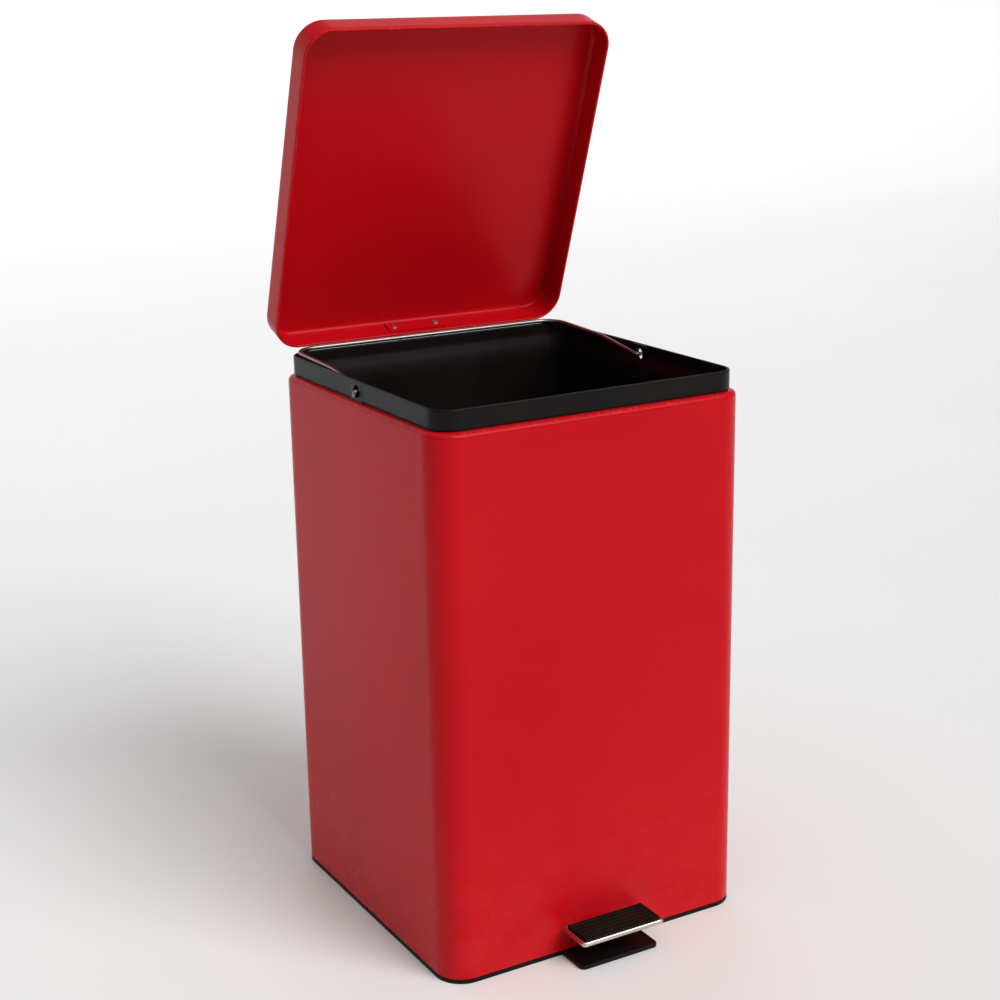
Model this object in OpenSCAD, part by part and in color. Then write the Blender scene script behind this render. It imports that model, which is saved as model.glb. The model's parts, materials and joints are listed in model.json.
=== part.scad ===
// Square step-on waste can. An enamelled steel body holds a lift-out plastic liner with a wire
// bail, and a foot pedal raises the hinged lid through a lever under the liner and a lift rod
// up the back.
//
// X runs to the right, Y to the back and Z up. The origin lies on the floor, under the middle
// of the body. The can stands with its pedal pressed down, its lid raised and its bail folded
// back. Pieces on the lid are drawn shut and then raised about the hinge pin.

/* [Body] */
// Width of the body, side to side
body_w = 300; // [240:1:400]
// Depth of the body, front to back
body_d = 300; // [240:1:400]
// Height of the body's shoulder above the floor
body_h = 477; // [360:1:620]
// Outside radius of the upright corners
corner_r = 25; // [24:1:40]
// Thickness of the body's sheet steel
shell_t = 0.8; // [0.6:0.1:1]
// Radius of the rolled shoulder
shoulder_r = 5; // [3:0.5:5]
// Width of the turned-in flange round the mouth
mouth_flange = 8; // [7:0.1:10]
// Height of the turned-down curl inside the mouth
mouth_curl = 6; // [3:0.5:10]
// Width of the turned-in flange round the foot of the body
foot_flange = 10; // [9:0.5:11]

/* [Base] */
// Height of the base ring that shows below the body
base_h = 3.5; // [3.5:0.1:4]
// Width of the base ring
ring_w = 14; // [12:0.5:16]
// Thickness of the base's floor plate
floor_t = 1.5; // [1.2:0.1:1.5]
// Thickness of the wall that locates the base inside the body
upstand_t = 2; // [1.5:0.5:3]
// Height of that wall's top edge above the floor
upstand_top = 29; // [28:0.5:30]
// Diameter of the rubber pads under the base
grip_pad_d = 22; // [14:1:30]
// Distance of the pads' centres in from the body's sides
grip_pad_inset = 30; // [29:1:45]

/* [Anti-tip foot] */
// Width of the foot below the pedal
tongue_w = 79; // [60:1:100]
// Reach of the foot in front of the body
tongue_reach = 32.5; // [20:0.5:45]
// Thickness of the foot where it shows
tongue_t = 4; // [3.5:0.1:5]
// Radius of the foot's front corners
tongue_corner_r = 5; // [2:0.5:10]
// Length of the foot's tail under the floor plate
tongue_tail = 26; // [20:1:40]

/* [Liner] */
// Wall thickness of the liner
liner_t = 2.2; // [1.5:0.1:2.5]
// Height of the liner's rim above the body's shoulder
rim_h = 18; // [17:0.5:20]
// Depth of the shadow gap between the rim band and the shoulder
rim_gap = 1.3; // [0.8:0.1:2]
// How much narrower the liner is at its floor than at its neck, on each side
liner_draft = 10; // [4:1:12]
// Height of the liner's underside above the floor
liner_z = 33; // [33:1:60]
// Width of the boss that thickens the rim at each end of the bail
boss_w = 23; // [18:1:40]
// Depth of the boss below the rim's top edge
boss_drop = 30; // [20:1:60]
// Thickness of the rim through the boss
boss_t = 3.8; // [3:0.1:6]

/* [Bail] */
// Diameter of the bail's wire
wire_d = 3.8; // [3:0.1:4.6]
// Depth of the bail's pivots below the rim's top edge
bail_drop = 9.5; // [8:0.5:10]
// Distance behind the pivots at which the arms bend level
bail_knee = 60; // [40:1:90]
// Height of the back bar above the knees
knee_dip = 3; // [1:0.5:5]
// Radius of the bail's back corners
bail_corner_r = 20; // [16:1:40]
// Diameter of the holes that the bail hangs in
bail_hole_d = 11; // [8:0.5:11]
// Length of the hooks' tails
hook_drop = 3; // [1:0.5:4]

/* [Lid] */
// How far the lid's skirt stands out past the body
lid_overhang = 0.5; // [0.3:0.1:1]
// Height of the lid from the skirt's edge to the top
lid_h = 26.5; // [26:0.5:32]
// Thickness of the lid's sheet steel
lid_t = 0.8; // [0.6:0.1:1]
// Gap between the shut lid's skirt and the shoulder
lid_gap = 1; // [0.6:0.1:1.5]
// Radius of the lid's rolled top edge
lid_edge_r = 5; // [3:0.5:8]
// Height of the folded hem on the skirt's edge
hem_h = 4; // [2:0.5:5]
// Angle that the lid opens through
lid_open = 70; // [60:1:75]

/* [Hinge] */
// Distance of the hinge pin behind the body
hinge_back = 17; // [17:0.5:20]
// Height of the hinge pin above the shoulder
hinge_up = 4; // [3:0.5:5]
// Diameter of the hinge pin
hinge_pin_d = 6; // [4:0.5:6]
// Thickness of the bracket steel
ear_t = 1.5; // [1.2:0.1:2]
// Clear width between the lid bracket's ears
lid_ears = 32; // [32:1:34]
// Clear width between the body bracket's ears
body_ears = 48; // [48:1:54]
// Width of metal round the pin's holes
ear_rim = 2.5; // [2:0.1:3]

/* [Lift rod] */
// Diameter of the lift rod
rod_d = 4; // [3:0.5:4]
// Sideways place of the lift rod
rod_x = 8; // [6:0.5:8]
// Distance of the lift rod in front of the hinge pin
crank = 10; // [9:0.5:10]
// Centre-line radius of the rod's bent ends
rod_bend_r = 4; // [3:0.5:5]
// Height of the lower rod guide above the floor
lower_guide_z = 120; // [80:1:160]
// Distance of the upper rod guide below the hinge pin
upper_guide_drop = 120; // [90:1:150]
// Height of a rod guide
guide_h = 10; // [8:1:16]
// Width of metal round a guide's hole
guide_rim = 2.2; // [1.5:0.1:3]

/* [Lever] */
// Width of the lever under the liner
lever_w = 36; // [34:1:44]
// Thickness of the lever
lever_t = 3; // [2:0.5:3]
// Place of the lever's pivot, front to back
pivot_y = -10; // [-40:1:20]
// Height of the lever's pivot above the floor
pivot_z = 11.5; // [11.5:0.1:12]
// Height of the lever's strip above its pivot
strip_rise = 6; // [6:0.1:6.5]
// Diameter of the pivot pin
pivot_pin_d = 5; // [4:0.5:5]
// Height of the lift rod's hole above the lever's pivot
tab_rise = 11; // [11:0.1:11.5]

/* [Pedal] */
// Width of the pedal plate
pedal_w = 83; // [60:1:100]
// Depth of the pedal plate, front to back
pedal_l = 35; // [27:0.5:40]
// Height of the pressed pedal plate above the floor
pedal_z = 29; // [29:0.5:32]
// Gap between the pressed pedal plate and the body
pedal_gap = 3.5; // [3.5:0.1:5]
// Thickness of the pedal plate's steel
plate_t = 1.2; // [1:0.1:1.5]
// Height of the pedal plate's turned-down lips
plate_lip = 4.5; // [3:0.5:5]
// Radius of the pedal plate's corners
plate_corner_r = 3; // [2:0.5:4]
// Thickness of the rubber tread pad
tread_t = 2.2; // [1.5:0.1:3]
// Width of bright border left beside the tread pad
tread_side = 3; // [2:0.5:6]
// Width of bright border left in front of and behind the tread pad
tread_end = 2; // [2:0.1:3]
// Number of grooves across the tread pad
tread_grooves = 5; // [3:1:7]
// Width of a groove
groove_w = 1.2; // [0.8:0.1:1.6]
// Depth of a groove
groove_depth = 0.6; // [0.3:0.1:1]
// Width of plain rubber beside the grooves
groove_side = 3; // [1:0.5:6]

/* [Fasteners] */
// Diameter of a rivet's shank
rivet_d = 3.2; // [2.4:0.1:4]
// Diameter of a rivet's head
rivet_head_d = 6; // [5:0.5:7]
// Height of a rivet's head
rivet_head_h = 1.2; // [0.8:0.1:1.5]
// Spacing of the two rivets that hold the lid's bracket
lid_rivet_gap = 44; // [40:1:48]
// Diameter of a screw's shank
screw_d = 3; // [2.5:0.5:4]
// Diameter of a screw's head
screw_head_d = 6.5; // [5.5:0.5:7]
// Height of a screw's head
screw_head_h = 1.5; // [1:0.1:1.5]
// Thickness of a pin's retaining clip or push nut
clip_t = 1.2; // [0.8:0.1:1.4]
// Diameter of a pin's retaining clip or push nut
clip_d = 10; // [9:0.5:11]
// Depth of the groove that a clip sits in
clip_groove = 0.5; // [0.3:0.1:0.8]
// Length of a pin, rod or screw left past its clip, nut or plate
pin_tail = 1.5; // [1:0.1:2]

/* [Clearances] */
// Radial clearance of a pin that turns in its hole
pin_clear = 0.08; // [0.05:0.01:0.1]
// Gap between pieces that move past each other
run_gap = 0.3; // [0.3:0.05:0.5]
// Gap between pieces that are fixed together
fit_gap = 0.05; // [0.05:0.01:0.1]
// Radial clearance of the lift rod's top end in the slot of the lid's bracket
link_clear = 0.7; // [0.6:0.05:0.8]
// Least gap between the lift rod's foot and its hole in the lever
tab_clear = 0.09; // [0.05:0.01:0.2]
// Gap between the liner's neck and the mouth flange
liner_gap = 0.6; // [0.4:0.1:1]
// Gap round the lever where it passes through the body
slot_gap = 1.8; // [1.5:0.1:2]

/* [Hidden] */
$fn = 64;

// How far a cutting shape runs past what it cuts
over = 1;

// The body's faces and the corners' centres
side_x = body_w / 2;
back_y = body_d / 2;
front_y = -back_y;

// Levels
shell_z = base_h;
floor_z = base_h - floor_t;
rim_z = body_h + rim_h;
lid_z = body_h + lid_gap;
lid_top_z = lid_z + lid_h;

// Lid
lid_corner_r = corner_r + lid_overhang;
lid_w = body_w + 2 * lid_overhang;
lid_d = body_d + 2 * lid_overhang;
lid_back_y = lid_d / 2;

// Hinge and linkage
hinge_y = back_y + hinge_back;
hinge_z = body_h + hinge_up;
ear_r = hinge_pin_d / 2 + pin_clear + ear_rim;
half_open = lid_open / 2;
rod_y = hinge_y - crank;
rod_travel = 2 * crank * tan(half_open);
rod_top_z = micron(hinge_z + rod_travel / 2);
link_rim = 1;
link_hole_r = rod_d / 2 + link_clear;
link_r = link_hole_r + link_rim;
crank_end = crank / cos(half_open);
nut_d = clip_d - 2;
rod_top_x = lid_ears / 2 + ear_t + run_gap + clip_t + pin_tail;
rod_foot_x = lever_w / 2 + run_gap + clip_t + pin_tail;

// Lever: its strip is level at half travel, so it tips by the same angle both ways
lever_reach = rod_y - pivot_y;
lever_tilt = asin(rod_travel / 2 / lever_reach);
strip_z = strip_rise - lever_t / 2;
tab_x = lever_w / 2 - lever_t;
tab_drift = lever_reach * (1 - cos(lever_tilt)) + tab_rise * sin(lever_tilt);
tab_hole_r = rod_d / 2 + tab_drift + tab_clear;
tab_r = tab_hole_r + link_rim;
rod_foot_z = micron(pivot_z + lever_reach * sin(lever_tilt) + tab_rise * cos(lever_tilt));
pivot_ear_rim = 2;
pivot_ear_r = pivot_pin_d / 2 + pin_clear + pivot_ear_rim;
pivot_ears = lever_w + 2 * run_gap;
pivot_bracket_t = 2;
pivot_bracket_l = 34;
bracket_top_z = base_h + ear_t;

// The windows that the lever passes through, at its highest and its lowest there
front_swing = (pivot_y - front_y) * sin(lever_tilt);
back_swing = (back_y - pivot_y) * sin(lever_tilt);
window_w = lever_w + 2 * slot_gap;
window_mid_z = pivot_z + strip_rise;
front_window_h = 2 * (front_swing + slot_gap) + lever_t;
back_window_h = 2 * (back_swing + slot_gap) + lever_t;

// Pedal plate
plate_back_y = front_y - pedal_gap;
plate_mid_y = plate_back_y - pedal_l / 2;
riser_inset = 3;
riser_y = plate_back_y - riser_inset;
pedal_rivet_gap = 20;
pedal_rivet_back = 2;

// Liner: its rim band leaves room for the bail's hooks inside the shut lid's hem
rim_inset = 2 * lid_t - lid_overhang + wire_d + 2 * run_gap;
neck_step = 1;
neck_inset = rim_inset + neck_step;
neck_z = body_h;
boss_top_z = rim_z - liner_t / 2;
liner_inset = mouth_flange + liner_gap;

// Bail
bail_x = side_x - rim_inset - boss_t - run_gap - wire_d / 2;
bail_lean = 0.4;
bail_y = back_y - rim_inset - liner_t / 2 - bail_lean;
pivot_line_z = rim_z - bail_drop;
bail_back_z = rim_z + wire_d / 2 + run_gap;
bail_knee_z = bail_back_z - knee_dip;
hook_x = side_x - rim_inset + wire_d / 2 + run_gap;
hook_inner_r = 0.6;
hook_bend_r = wire_d / 2 + hook_inner_r;
wire_bead = 0.06;
knee_rise = atan2(bail_knee_z - pivot_line_z, bail_knee);
knee_run = norm([bail_knee_z - pivot_line_z, bail_knee]);
back_rise = atan2(bail_back_z - bail_knee_z, bail_y - bail_knee);
back_run = norm([bail_back_z - bail_knee_z, bail_y - bail_knee]);

// Fastener places
guide_rivet_gap = 24;
guide_foot_rim = 1;
guide_z = [lower_guide_z, hinge_z - upper_guide_drop];
web_rivet_gap = 40;
web_side = 7;
web_w = body_ears + 2 * ear_t + 2 * web_side;
web_h = 30;
web_drop = 3;
web_top_z = body_h - shoulder_r - web_drop;
web_mid_z = web_top_z - web_h / 2;
lid_web_w = lid_rivet_gap + 2 * web_side;
lid_web_h = 16;
lid_web_rise = 3;
lid_web_z = hinge_z + lid_web_rise;
lid_rivet_z = lid_web_z + lid_web_h / 2;
base_screw_inset = (foot_flange + 1) / 2;
base_screw_sink = 0.3;
base_screw_from_end = 50;
tongue_screw_gap = 50;
foot_head_h = 1;
tongue_screw_y = front_y + ring_w + tongue_tail / 2;
bracket_screw_gap = 24;

// ---- Shapes that repeat ----

// A height rounded to the nearest thousandth of a millimetre, so that faces meet
function micron(z) = round(1000 * z) / 1000;

// An outline carried round a rounded rectangle w by d, whose corners' centres lie c in from its
// sides. The outline's x is its distance outwards from those centres, and its y is height.
module carried_round(w, d, c) {
    for (turn = [0 : 90 : 270]) {
        across = (turn % 180 == 0 ? w : d) / 2 - c;
        along = (turn % 180 == 0 ? d : w) / 2 - c;
        rotate(turn) translate([across, along, 0]) {
            rotate_extrude(angle = 90) children();
            rotate([90, 0, 0]) linear_extrude(2 * along) children();
        }
    }
}

// The flat slab between the corners' centres, from height z up by t
module middle_slab(w, d, c, z, t) {
    translate([c - w / 2, c - d / 2, z]) cube([w - 2 * c, d - 2 * c, t]);
}

// A rounded rectangle's slab, centred, from z = 0 up by t
module rounded_slab(w, d, r, t) {
    linear_extrude(t) union() {
        square([w - 2 * r, d], center = true);
        square([w, d - 2 * r], center = true);
        for (x = [-1, 1], y = [-1, 1]) translate([x * (w / 2 - r), y * (d / 2 - r)]) circle(r);
    }
}

// A quarter ring of sheet, t thick, from the +x axis to the +y axis
module quarter_ring(r, t) {
    difference() {
        intersection() {
            circle(r);
            square(r);
        }
        circle(r - t);
    }
}

// An upright plate whose outline's x runs along Y and whose y is height
module side_plate(x, t) {
    translate([x, 0, 0]) rotate([90, 0, 90]) linear_extrude(t) children();
}

// A pair of side plates with the clear width gap between them
module ear_pair(gap, t) {
    for (x = [-gap / 2 - t, gap / 2]) side_plate(x, t) children();
}

// A round bar along X
module x_bar(x0, x1, r) {
    translate([x0, 0, 0]) rotate([0, 90, 0]) cylinder(h = x1 - x0, r = r);
}

// A hole along Y through whatever lies near the back wall
module back_hole(x, z) {
    translate([x, back_y - corner_r / 2, z]) rotate([-90, 0, 0])
        cylinder(h = corner_r, r = rivet_d / 2 + fit_gap);
}

// A rivet along Y that clamps everything between y0 and y1
module rivet_y(x, z, y0, y1) {
    translate([x, y0, z]) rotate([-90, 0, 0]) {
        cylinder(h = y1 - y0, r = rivet_d / 2);
        translate([0, 0, y1 - y0]) rivet_head();
        mirror([0, 0, 1]) rivet_head();
    }
}

module rivet_head() {
    cylinder(h = rivet_head_h, r1 = rivet_head_d / 2, r2 = rivet_head_d / 2 - rivet_head_h / 2);
}

// An upright screw with its head below, which clamps everything from z0 up to z1
module screw_up(x, y, z0, z1) {
    translate([x, y, z0 - screw_head_h]) {
        cylinder(h = screw_head_h, r = screw_head_d / 2);
        cylinder(h = screw_head_h + z1 - z0 + pin_tail, r = screw_d / 2);
    }
}

module screw_hole(x, y) {
    translate([x, y, -over]) cylinder(h = bracket_top_z + 2 * over, r = screw_d / 2 + fit_gap);
}

// A pin along X with a groove near each end for a clip, which sits just outside +-span / 2
module clipped_pin(span, r) {
    end = span / 2 + run_gap + clip_t + pin_tail;
    difference() {
        x_bar(-end, end, r);
        for (s = [-1, 1]) translate([s * (span / 2 + run_gap + clip_t / 2), 0, 0]) difference() {
            x_bar(-clip_t / 2 - fit_gap, clip_t / 2 + fit_gap, r + over);
            x_bar(-clip_t, clip_t, r - clip_groove);
        }
    }
}

module pin_clips(span, r) {
    for (s = [-1, 1]) translate([s * (span / 2 + run_gap + clip_t / 2), 0, 0]) difference() {
        x_bar(-clip_t / 2, clip_t / 2, clip_d / 2);
        x_bar(-clip_t, clip_t, r - clip_groove + fit_gap);
    }
}

// Raises pieces drawn on the shut lid about the hinge pin
module raised() {
    translate([0, hinge_y, hinge_z]) rotate([-lid_open, 0, 0])
        translate([0, -hinge_y, -hinge_z]) children();
}

// Tips pieces drawn on the level lever to where the pressed pedal puts them
module pressed() {
    translate([0, pivot_y, pivot_z]) rotate([lever_tilt, 0, 0]) children();
}

// ---- Body ----

module shell_section() {
    translate([corner_r - shell_t, shell_z]) square([shell_t, body_h - shoulder_r - shell_z]);
    translate([corner_r - shoulder_r, body_h - shoulder_r]) quarter_ring(shoulder_r, shell_t);
    translate([corner_r - mouth_flange, body_h - shell_t])
        square([mouth_flange - shoulder_r, shell_t]);
    translate([corner_r - mouth_flange, body_h - mouth_curl]) square([shell_t, mouth_curl]);
    translate([corner_r - foot_flange, shell_z]) square([foot_flange, shell_t]);
}

module lever_window(y, h) {
    translate([-window_w / 2, y - ring_w, window_mid_z - h / 2]) cube([window_w, 2 * ring_w, h]);
}

module base_screw_places() {
    for (x = [-1, 1], y = [-1, 1])
        translate([x * (side_x - base_screw_inset), y * (back_y - base_screw_from_end), 0])
            children();
}

module outer_shell() {
    color("firebrick") difference() {
        carried_round(body_w, body_d, corner_r) shell_section();
        lever_window(front_y, front_window_h);
        lever_window(back_y, back_window_h);
        base_screw_places() screw_hole(0, 0);
        for (z = guide_z, s = [-1, 1]) back_hole(rod_x + s * guide_rivet_gap / 2, z);
        for (s = [-1, 1]) back_hole(s * web_rivet_gap / 2, web_mid_z);
    }
}

// ---- Base ----

module base_section() {
    translate([corner_r - ring_w, 0]) square([ring_w, base_h]);
    translate([0, floor_z]) square([corner_r - ring_w, floor_t]);
    translate([corner_r - foot_flange - fit_gap - upstand_t, base_h])
        square([upstand_t, upstand_top - base_h]);
}

module tongue_screw_places() {
    for (s = [-1, 1]) translate([s * tongue_screw_gap / 2, tongue_screw_y, 0]) children();
}

module bracket_screw_places() {
    for (s = [-1, 1]) translate([0, pivot_y + s * bracket_screw_gap / 2, 0]) children();
}

module base_tray() {
    color("black") difference() {
        union() {
            carried_round(body_w, body_d, corner_r) base_section();
            middle_slab(body_w, body_d, corner_r, floor_z, floor_t);
        }
        lever_window(front_y, front_window_h);
        lever_window(back_y, back_window_h);
        translate([-tongue_w / 2 - fit_gap, front_y - over, -over])
            cube([tongue_w + 2 * fit_gap, ring_w + over, floor_z + over]);
        base_screw_places() {
            screw_hole(0, 0);
            translate([0, 0, -over])
                cylinder(h = over + screw_head_h + base_screw_sink, r = screw_head_d / 2 + fit_gap);
        }
        tongue_screw_places() screw_hole(0, 0);
        bracket_screw_places() screw_hole(0, 0);
    }
}

module grip_pads() {
    color("dimgray") for (x = [-1, 1], y = [-1, 1])
        translate([x * (side_x - grip_pad_inset), y * (back_y - grip_pad_inset), 0])
            cylinder(h = floor_z, r = grip_pad_d / 2);
}

module base_screws() {
    color("silver") base_screw_places()
        screw_up(0, 0, screw_head_h + base_screw_sink, shell_z + shell_t);
}

module anti_tip_foot() {
    front = front_y - tongue_reach;
    step_y = front_y - fit_gap - shell_t;
    color("black") difference() {
        union() {
            translate([-tongue_w / 2, front + tongue_corner_r, 0])
                cube([tongue_w, step_y - front - tongue_corner_r, tongue_t]);
            translate([tongue_corner_r - tongue_w / 2, front, 0])
                cube([tongue_w - 2 * tongue_corner_r, tongue_corner_r, tongue_t]);
            for (s = [-1, 1])
                translate([s * (tongue_w / 2 - tongue_corner_r), front + tongue_corner_r, 0])
                    cylinder(h = tongue_t, r = tongue_corner_r);
            translate([-tongue_w / 2, step_y, 0])
                cube([tongue_w, front_y + ring_w + tongue_tail - step_y, floor_z]);
        }
        tongue_screw_places() {
            screw_hole(0, 0);
            translate([0, 0, -over])
                cylinder(h = over + foot_head_h, r = screw_head_d / 2 + fit_gap);
        }
    }
}

module foot_screws() {
    color("silver") tongue_screw_places() {
        cylinder(h = foot_head_h, r = screw_head_d / 2);
        cylinder(h = base_h + pin_tail, r = screw_d / 2);
    }
}

// ---- Liner and bail ----

module liner_section() {
    r = corner_r;
    polygon([
        [r - rim_inset, rim_z - liner_t / 2],
        [r - rim_inset - liner_t, rim_z - liner_t / 2],
        [r - rim_inset - liner_t, neck_z + liner_t + liner_inset - rim_inset],
        [r - liner_inset - liner_t, neck_z],
        [r - liner_inset - liner_t - liner_draft, liner_z + liner_t],
        [0, liner_z + liner_t],
        [0, liner_z],
        [r - liner_inset - liner_draft, liner_z],
        [r - liner_inset, neck_z],
        [r - neck_inset, neck_z],
        [r - neck_inset, neck_z + rim_gap],
        [r - rim_inset, neck_z + rim_gap]
    ]);
    translate([r - rim_inset - liner_t / 2, rim_z - liner_t / 2]) circle(liner_t / 2);
}

module liner_bucket() {
    color("black") difference() {
        union() {
            carried_round(body_w, body_d, corner_r) liner_section();
            middle_slab(body_w, body_d, corner_r, liner_z, liner_t);
            for (s = [-1, 1])
                translate([s * (side_x - rim_inset - boss_t / 2), 0, boss_top_z - boss_drop / 2])
                    cube([boss_t, boss_w, boss_drop], center = true);
        }
        translate([-side_x, 0, pivot_line_z]) x_bar(0, body_w, bail_hole_d / 2);
        for (s = [-1, 1]) translate([s * (side_x - rim_inset), 0, body_h - boss_drop / 2 + rim_gap])
            cube([2 * (liner_inset - rim_inset), boss_w + 2 * over, boss_drop], center = true);
    }
}

// A quarter bend of round wire in the XZ plane, from its +x side to its +z side
module bend_xz(bend_r, r) {
    rotate([90, 0, 0]) rotate_extrude(angle = 90) translate([bend_r, 0]) circle(r);
}

// A straight bar along Y
module y_bar(y0, y1, r) {
    translate([0, y0, 0]) rotate([-90, 0, 0]) cylinder(h = y1 - y0, r = r);
}

// The right half of the bail: a hook outside the rim, an arm that rises to a knee, and a flatter
// stretch that turns into the back bar
module bail_half() {
    r = wire_d / 2;
    translate([0, 0, pivot_line_z]) {
        translate([hook_x, 0, -hook_bend_r - hook_drop]) cylinder(h = hook_drop, r = r);
        translate([hook_x - hook_bend_r, 0, -hook_bend_r]) bend_xz(hook_bend_r, r);
        x_bar(bail_x + hook_bend_r, hook_x - hook_bend_r, r);
        translate([bail_x + hook_bend_r, 0, 0]) sphere(r + wire_bead);
        rotate([knee_rise, 0, 0]) {
            translate([bail_x + hook_bend_r, hook_bend_r, 0]) rotate(180)
                rotate_extrude(angle = 90) translate([hook_bend_r, 0]) circle(r);
            translate([bail_x, 0, 0]) y_bar(hook_bend_r, knee_run, r);
        }
    }
    translate([0, bail_knee, bail_knee_z]) rotate([back_rise, 0, 0]) {
        translate([bail_x, 0, 0]) {
            sphere(r + wire_bead);
            y_bar(0, back_run - bail_corner_r, r);
        }
        translate([bail_x - bail_corner_r, back_run - bail_corner_r, 0])
            rotate_extrude(angle = 90) translate([bail_corner_r, 0]) circle(r);
        translate([0, back_run, 0]) x_bar(0, bail_x - bail_corner_r, r);
    }
}

module bail_handle() {
    color("silver") {
        bail_half();
        mirror([1, 0, 0]) bail_half();
    }
}

// ---- Lid ----

module lid_section() {
    r = lid_corner_r;
    translate([r - lid_t, lid_z]) square([lid_t, lid_h - lid_edge_r]);
    translate([r - lid_edge_r, lid_top_z - lid_edge_r]) quarter_ring(lid_edge_r, lid_t);
    translate([0, lid_top_z - lid_t]) square([r - lid_edge_r, lid_t]);
    translate([r - 2 * lid_t, lid_z]) square([lid_t, hem_h]);
}

module lid_rivet_holes() {
    for (s = [-1, 1]) back_hole(s * lid_rivet_gap / 2, lid_rivet_z);
}

module lid_pan() {
    color("firebrick") raised() difference() {
        union() {
            carried_round(lid_w, lid_d, lid_corner_r) lid_section();
            middle_slab(lid_w, lid_d, lid_corner_r, lid_top_z - lid_t, lid_t);
        }
        lid_rivet_holes();
    }
}

module lid_backing_plate() {
    color("firebrick") raised() difference() {
        translate([-lid_web_w / 2, lid_back_y - lid_t - ear_t, lid_web_z])
            cube([lid_web_w, ear_t, lid_web_h]);
        lid_rivet_holes();
    }
}

// One ear of the lid's bracket, with its y and z counted from the hinge pin
module lid_ear() {
    web_y = lid_back_y - hinge_y;
    difference() {
        union() {
            circle(ear_r);
            polygon([
                [web_y, lid_web_z - hinge_z],
                [web_y, lid_web_z + lid_web_h - hinge_z],
                [web_y + ear_t, lid_web_z + lid_web_h - hinge_z],
                [0, ear_r],
                [0, -ear_r],
                [-ear_r, -ear_r]
            ]);
            rotate(half_open) {
                translate([-crank_end, -link_r]) square([crank_end, 2 * link_r]);
                translate([-crank_end, 0]) circle(link_r);
            }
        }
        circle(hinge_pin_d / 2 + pin_clear);
        rotate(half_open) {
            translate([-crank_end, -link_hole_r]) square([crank_end - crank, 2 * link_hole_r]);
            for (y = [-crank_end, -crank]) translate([y, 0]) circle(link_hole_r);
        }
    }
}

module lid_lever_bracket() {
    color("silver") raised() difference() {
        union() {
            translate([-lid_web_w / 2, lid_back_y, lid_web_z]) cube([lid_web_w, ear_t, lid_web_h]);
            translate([0, hinge_y, hinge_z]) ear_pair(lid_ears, ear_t) lid_ear();
        }
        lid_rivet_holes();
    }
}

module lid_rivets() {
    color("silver") raised() for (s = [-1, 1])
        rivet_y(s * lid_rivet_gap / 2, lid_rivet_z, lid_back_y - lid_t - ear_t, lid_back_y + ear_t);
}

// ---- Hinge ----

module body_ear() {
    difference() {
        union() {
            circle(ear_r);
            polygon([
                [-hinge_back, web_top_z - hinge_z],
                [-hinge_back, web_top_z - web_h - hinge_z],
                [ear_t - hinge_back, web_top_z - web_h - hinge_z],
                [ear_r, 0],
                [-ear_r / sqrt(2), ear_r / sqrt(2)]
            ]);
        }
        circle(hinge_pin_d / 2 + fit_gap);
    }
}

module body_hinge_bracket() {
    color("silver") difference() {
        union() {
            translate([-web_w / 2, back_y, web_top_z - web_h]) cube([web_w, ear_t, web_h]);
            translate([0, hinge_y, hinge_z]) ear_pair(body_ears, ear_t) body_ear();
        }
        for (s = [-1, 1]) back_hole(s * web_rivet_gap / 2, web_mid_z);
    }
}

module hinge_bracket_rivets() {
    color("silver") for (s = [-1, 1])
        rivet_y(s * web_rivet_gap / 2, web_mid_z, back_y - shell_t, back_y + ear_t);
}

module hinge_pin() {
    color("silver") translate([0, hinge_y, hinge_z])
        clipped_pin(body_ears + 2 * ear_t, hinge_pin_d / 2);
}

module hinge_pin_clips() {
    color("gray") translate([0, hinge_y, hinge_z])
        pin_clips(body_ears + 2 * ear_t, hinge_pin_d / 2);
}

// ---- Lift rod ----

// The bent end of the rod, from the upright at rod_x out to end_x, with its centre line on
// z = 0; the upright lies above it
module rod_end(end_x) {
    translate([rod_bend_r, 0, rod_bend_r]) rotate([0, 180, 0]) bend_xz(rod_bend_r, rod_d / 2);
    x_bar(rod_bend_r, end_x - rod_x, rod_d / 2);
}

module lift_rod() {
    color("silver") translate([rod_x, rod_y, 0]) {
        translate([0, 0, rod_foot_z + rod_bend_r])
            cylinder(h = rod_top_z - rod_foot_z - 2 * rod_bend_r, r = rod_d / 2);
        translate([0, 0, rod_foot_z]) rod_end(rod_foot_x);
        translate([0, 0, rod_top_z]) mirror([0, 0, 1]) rod_end(rod_top_x);
    }
}

module rod_push_nuts() {
    color("gray") for (place = [[rod_foot_z, lever_w / 2], [rod_top_z, lid_ears / 2 + ear_t]])
        translate([place.y + run_gap, rod_y, place.x]) difference() {
            x_bar(0, clip_t, nut_d / 2);
            x_bar(-over, clip_t + over, rod_d / 2 + fit_gap);
        }
}

module rod_guide(z) {
    foot_w = guide_rivet_gap + rivet_head_d + 2 * guide_foot_rim;
    loop_r = rod_d / 2 + run_gap + guide_rim;
    stand = rod_y - back_y;
    difference() {
        translate([rod_x, back_y, z - guide_h / 2]) {
            translate([-foot_w / 2, 0, 0]) cube([foot_w, ear_t, guide_h]);
            translate([-loop_r, 0, 0]) cube([2 * loop_r, stand, guide_h]);
            translate([0, stand, 0]) cylinder(h = guide_h, r = loop_r);
        }
        translate([rod_x, rod_y, z - guide_h / 2 - over])
            cylinder(h = guide_h + 2 * over, r = rod_d / 2 + run_gap);
        for (s = [-1, 1]) back_hole(rod_x + s * guide_rivet_gap / 2, z);
    }
}

module lower_rod_guide() {
    color("black") rod_guide(guide_z[0]);
}

module upper_rod_guide() {
    color("black") rod_guide(guide_z[1]);
}

module rod_guide_rivets() {
    color("silver") for (z = guide_z, s = [-1, 1])
        rivet_y(rod_x + s * guide_rivet_gap / 2, z, back_y - shell_t, back_y + ear_t);
}

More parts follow.
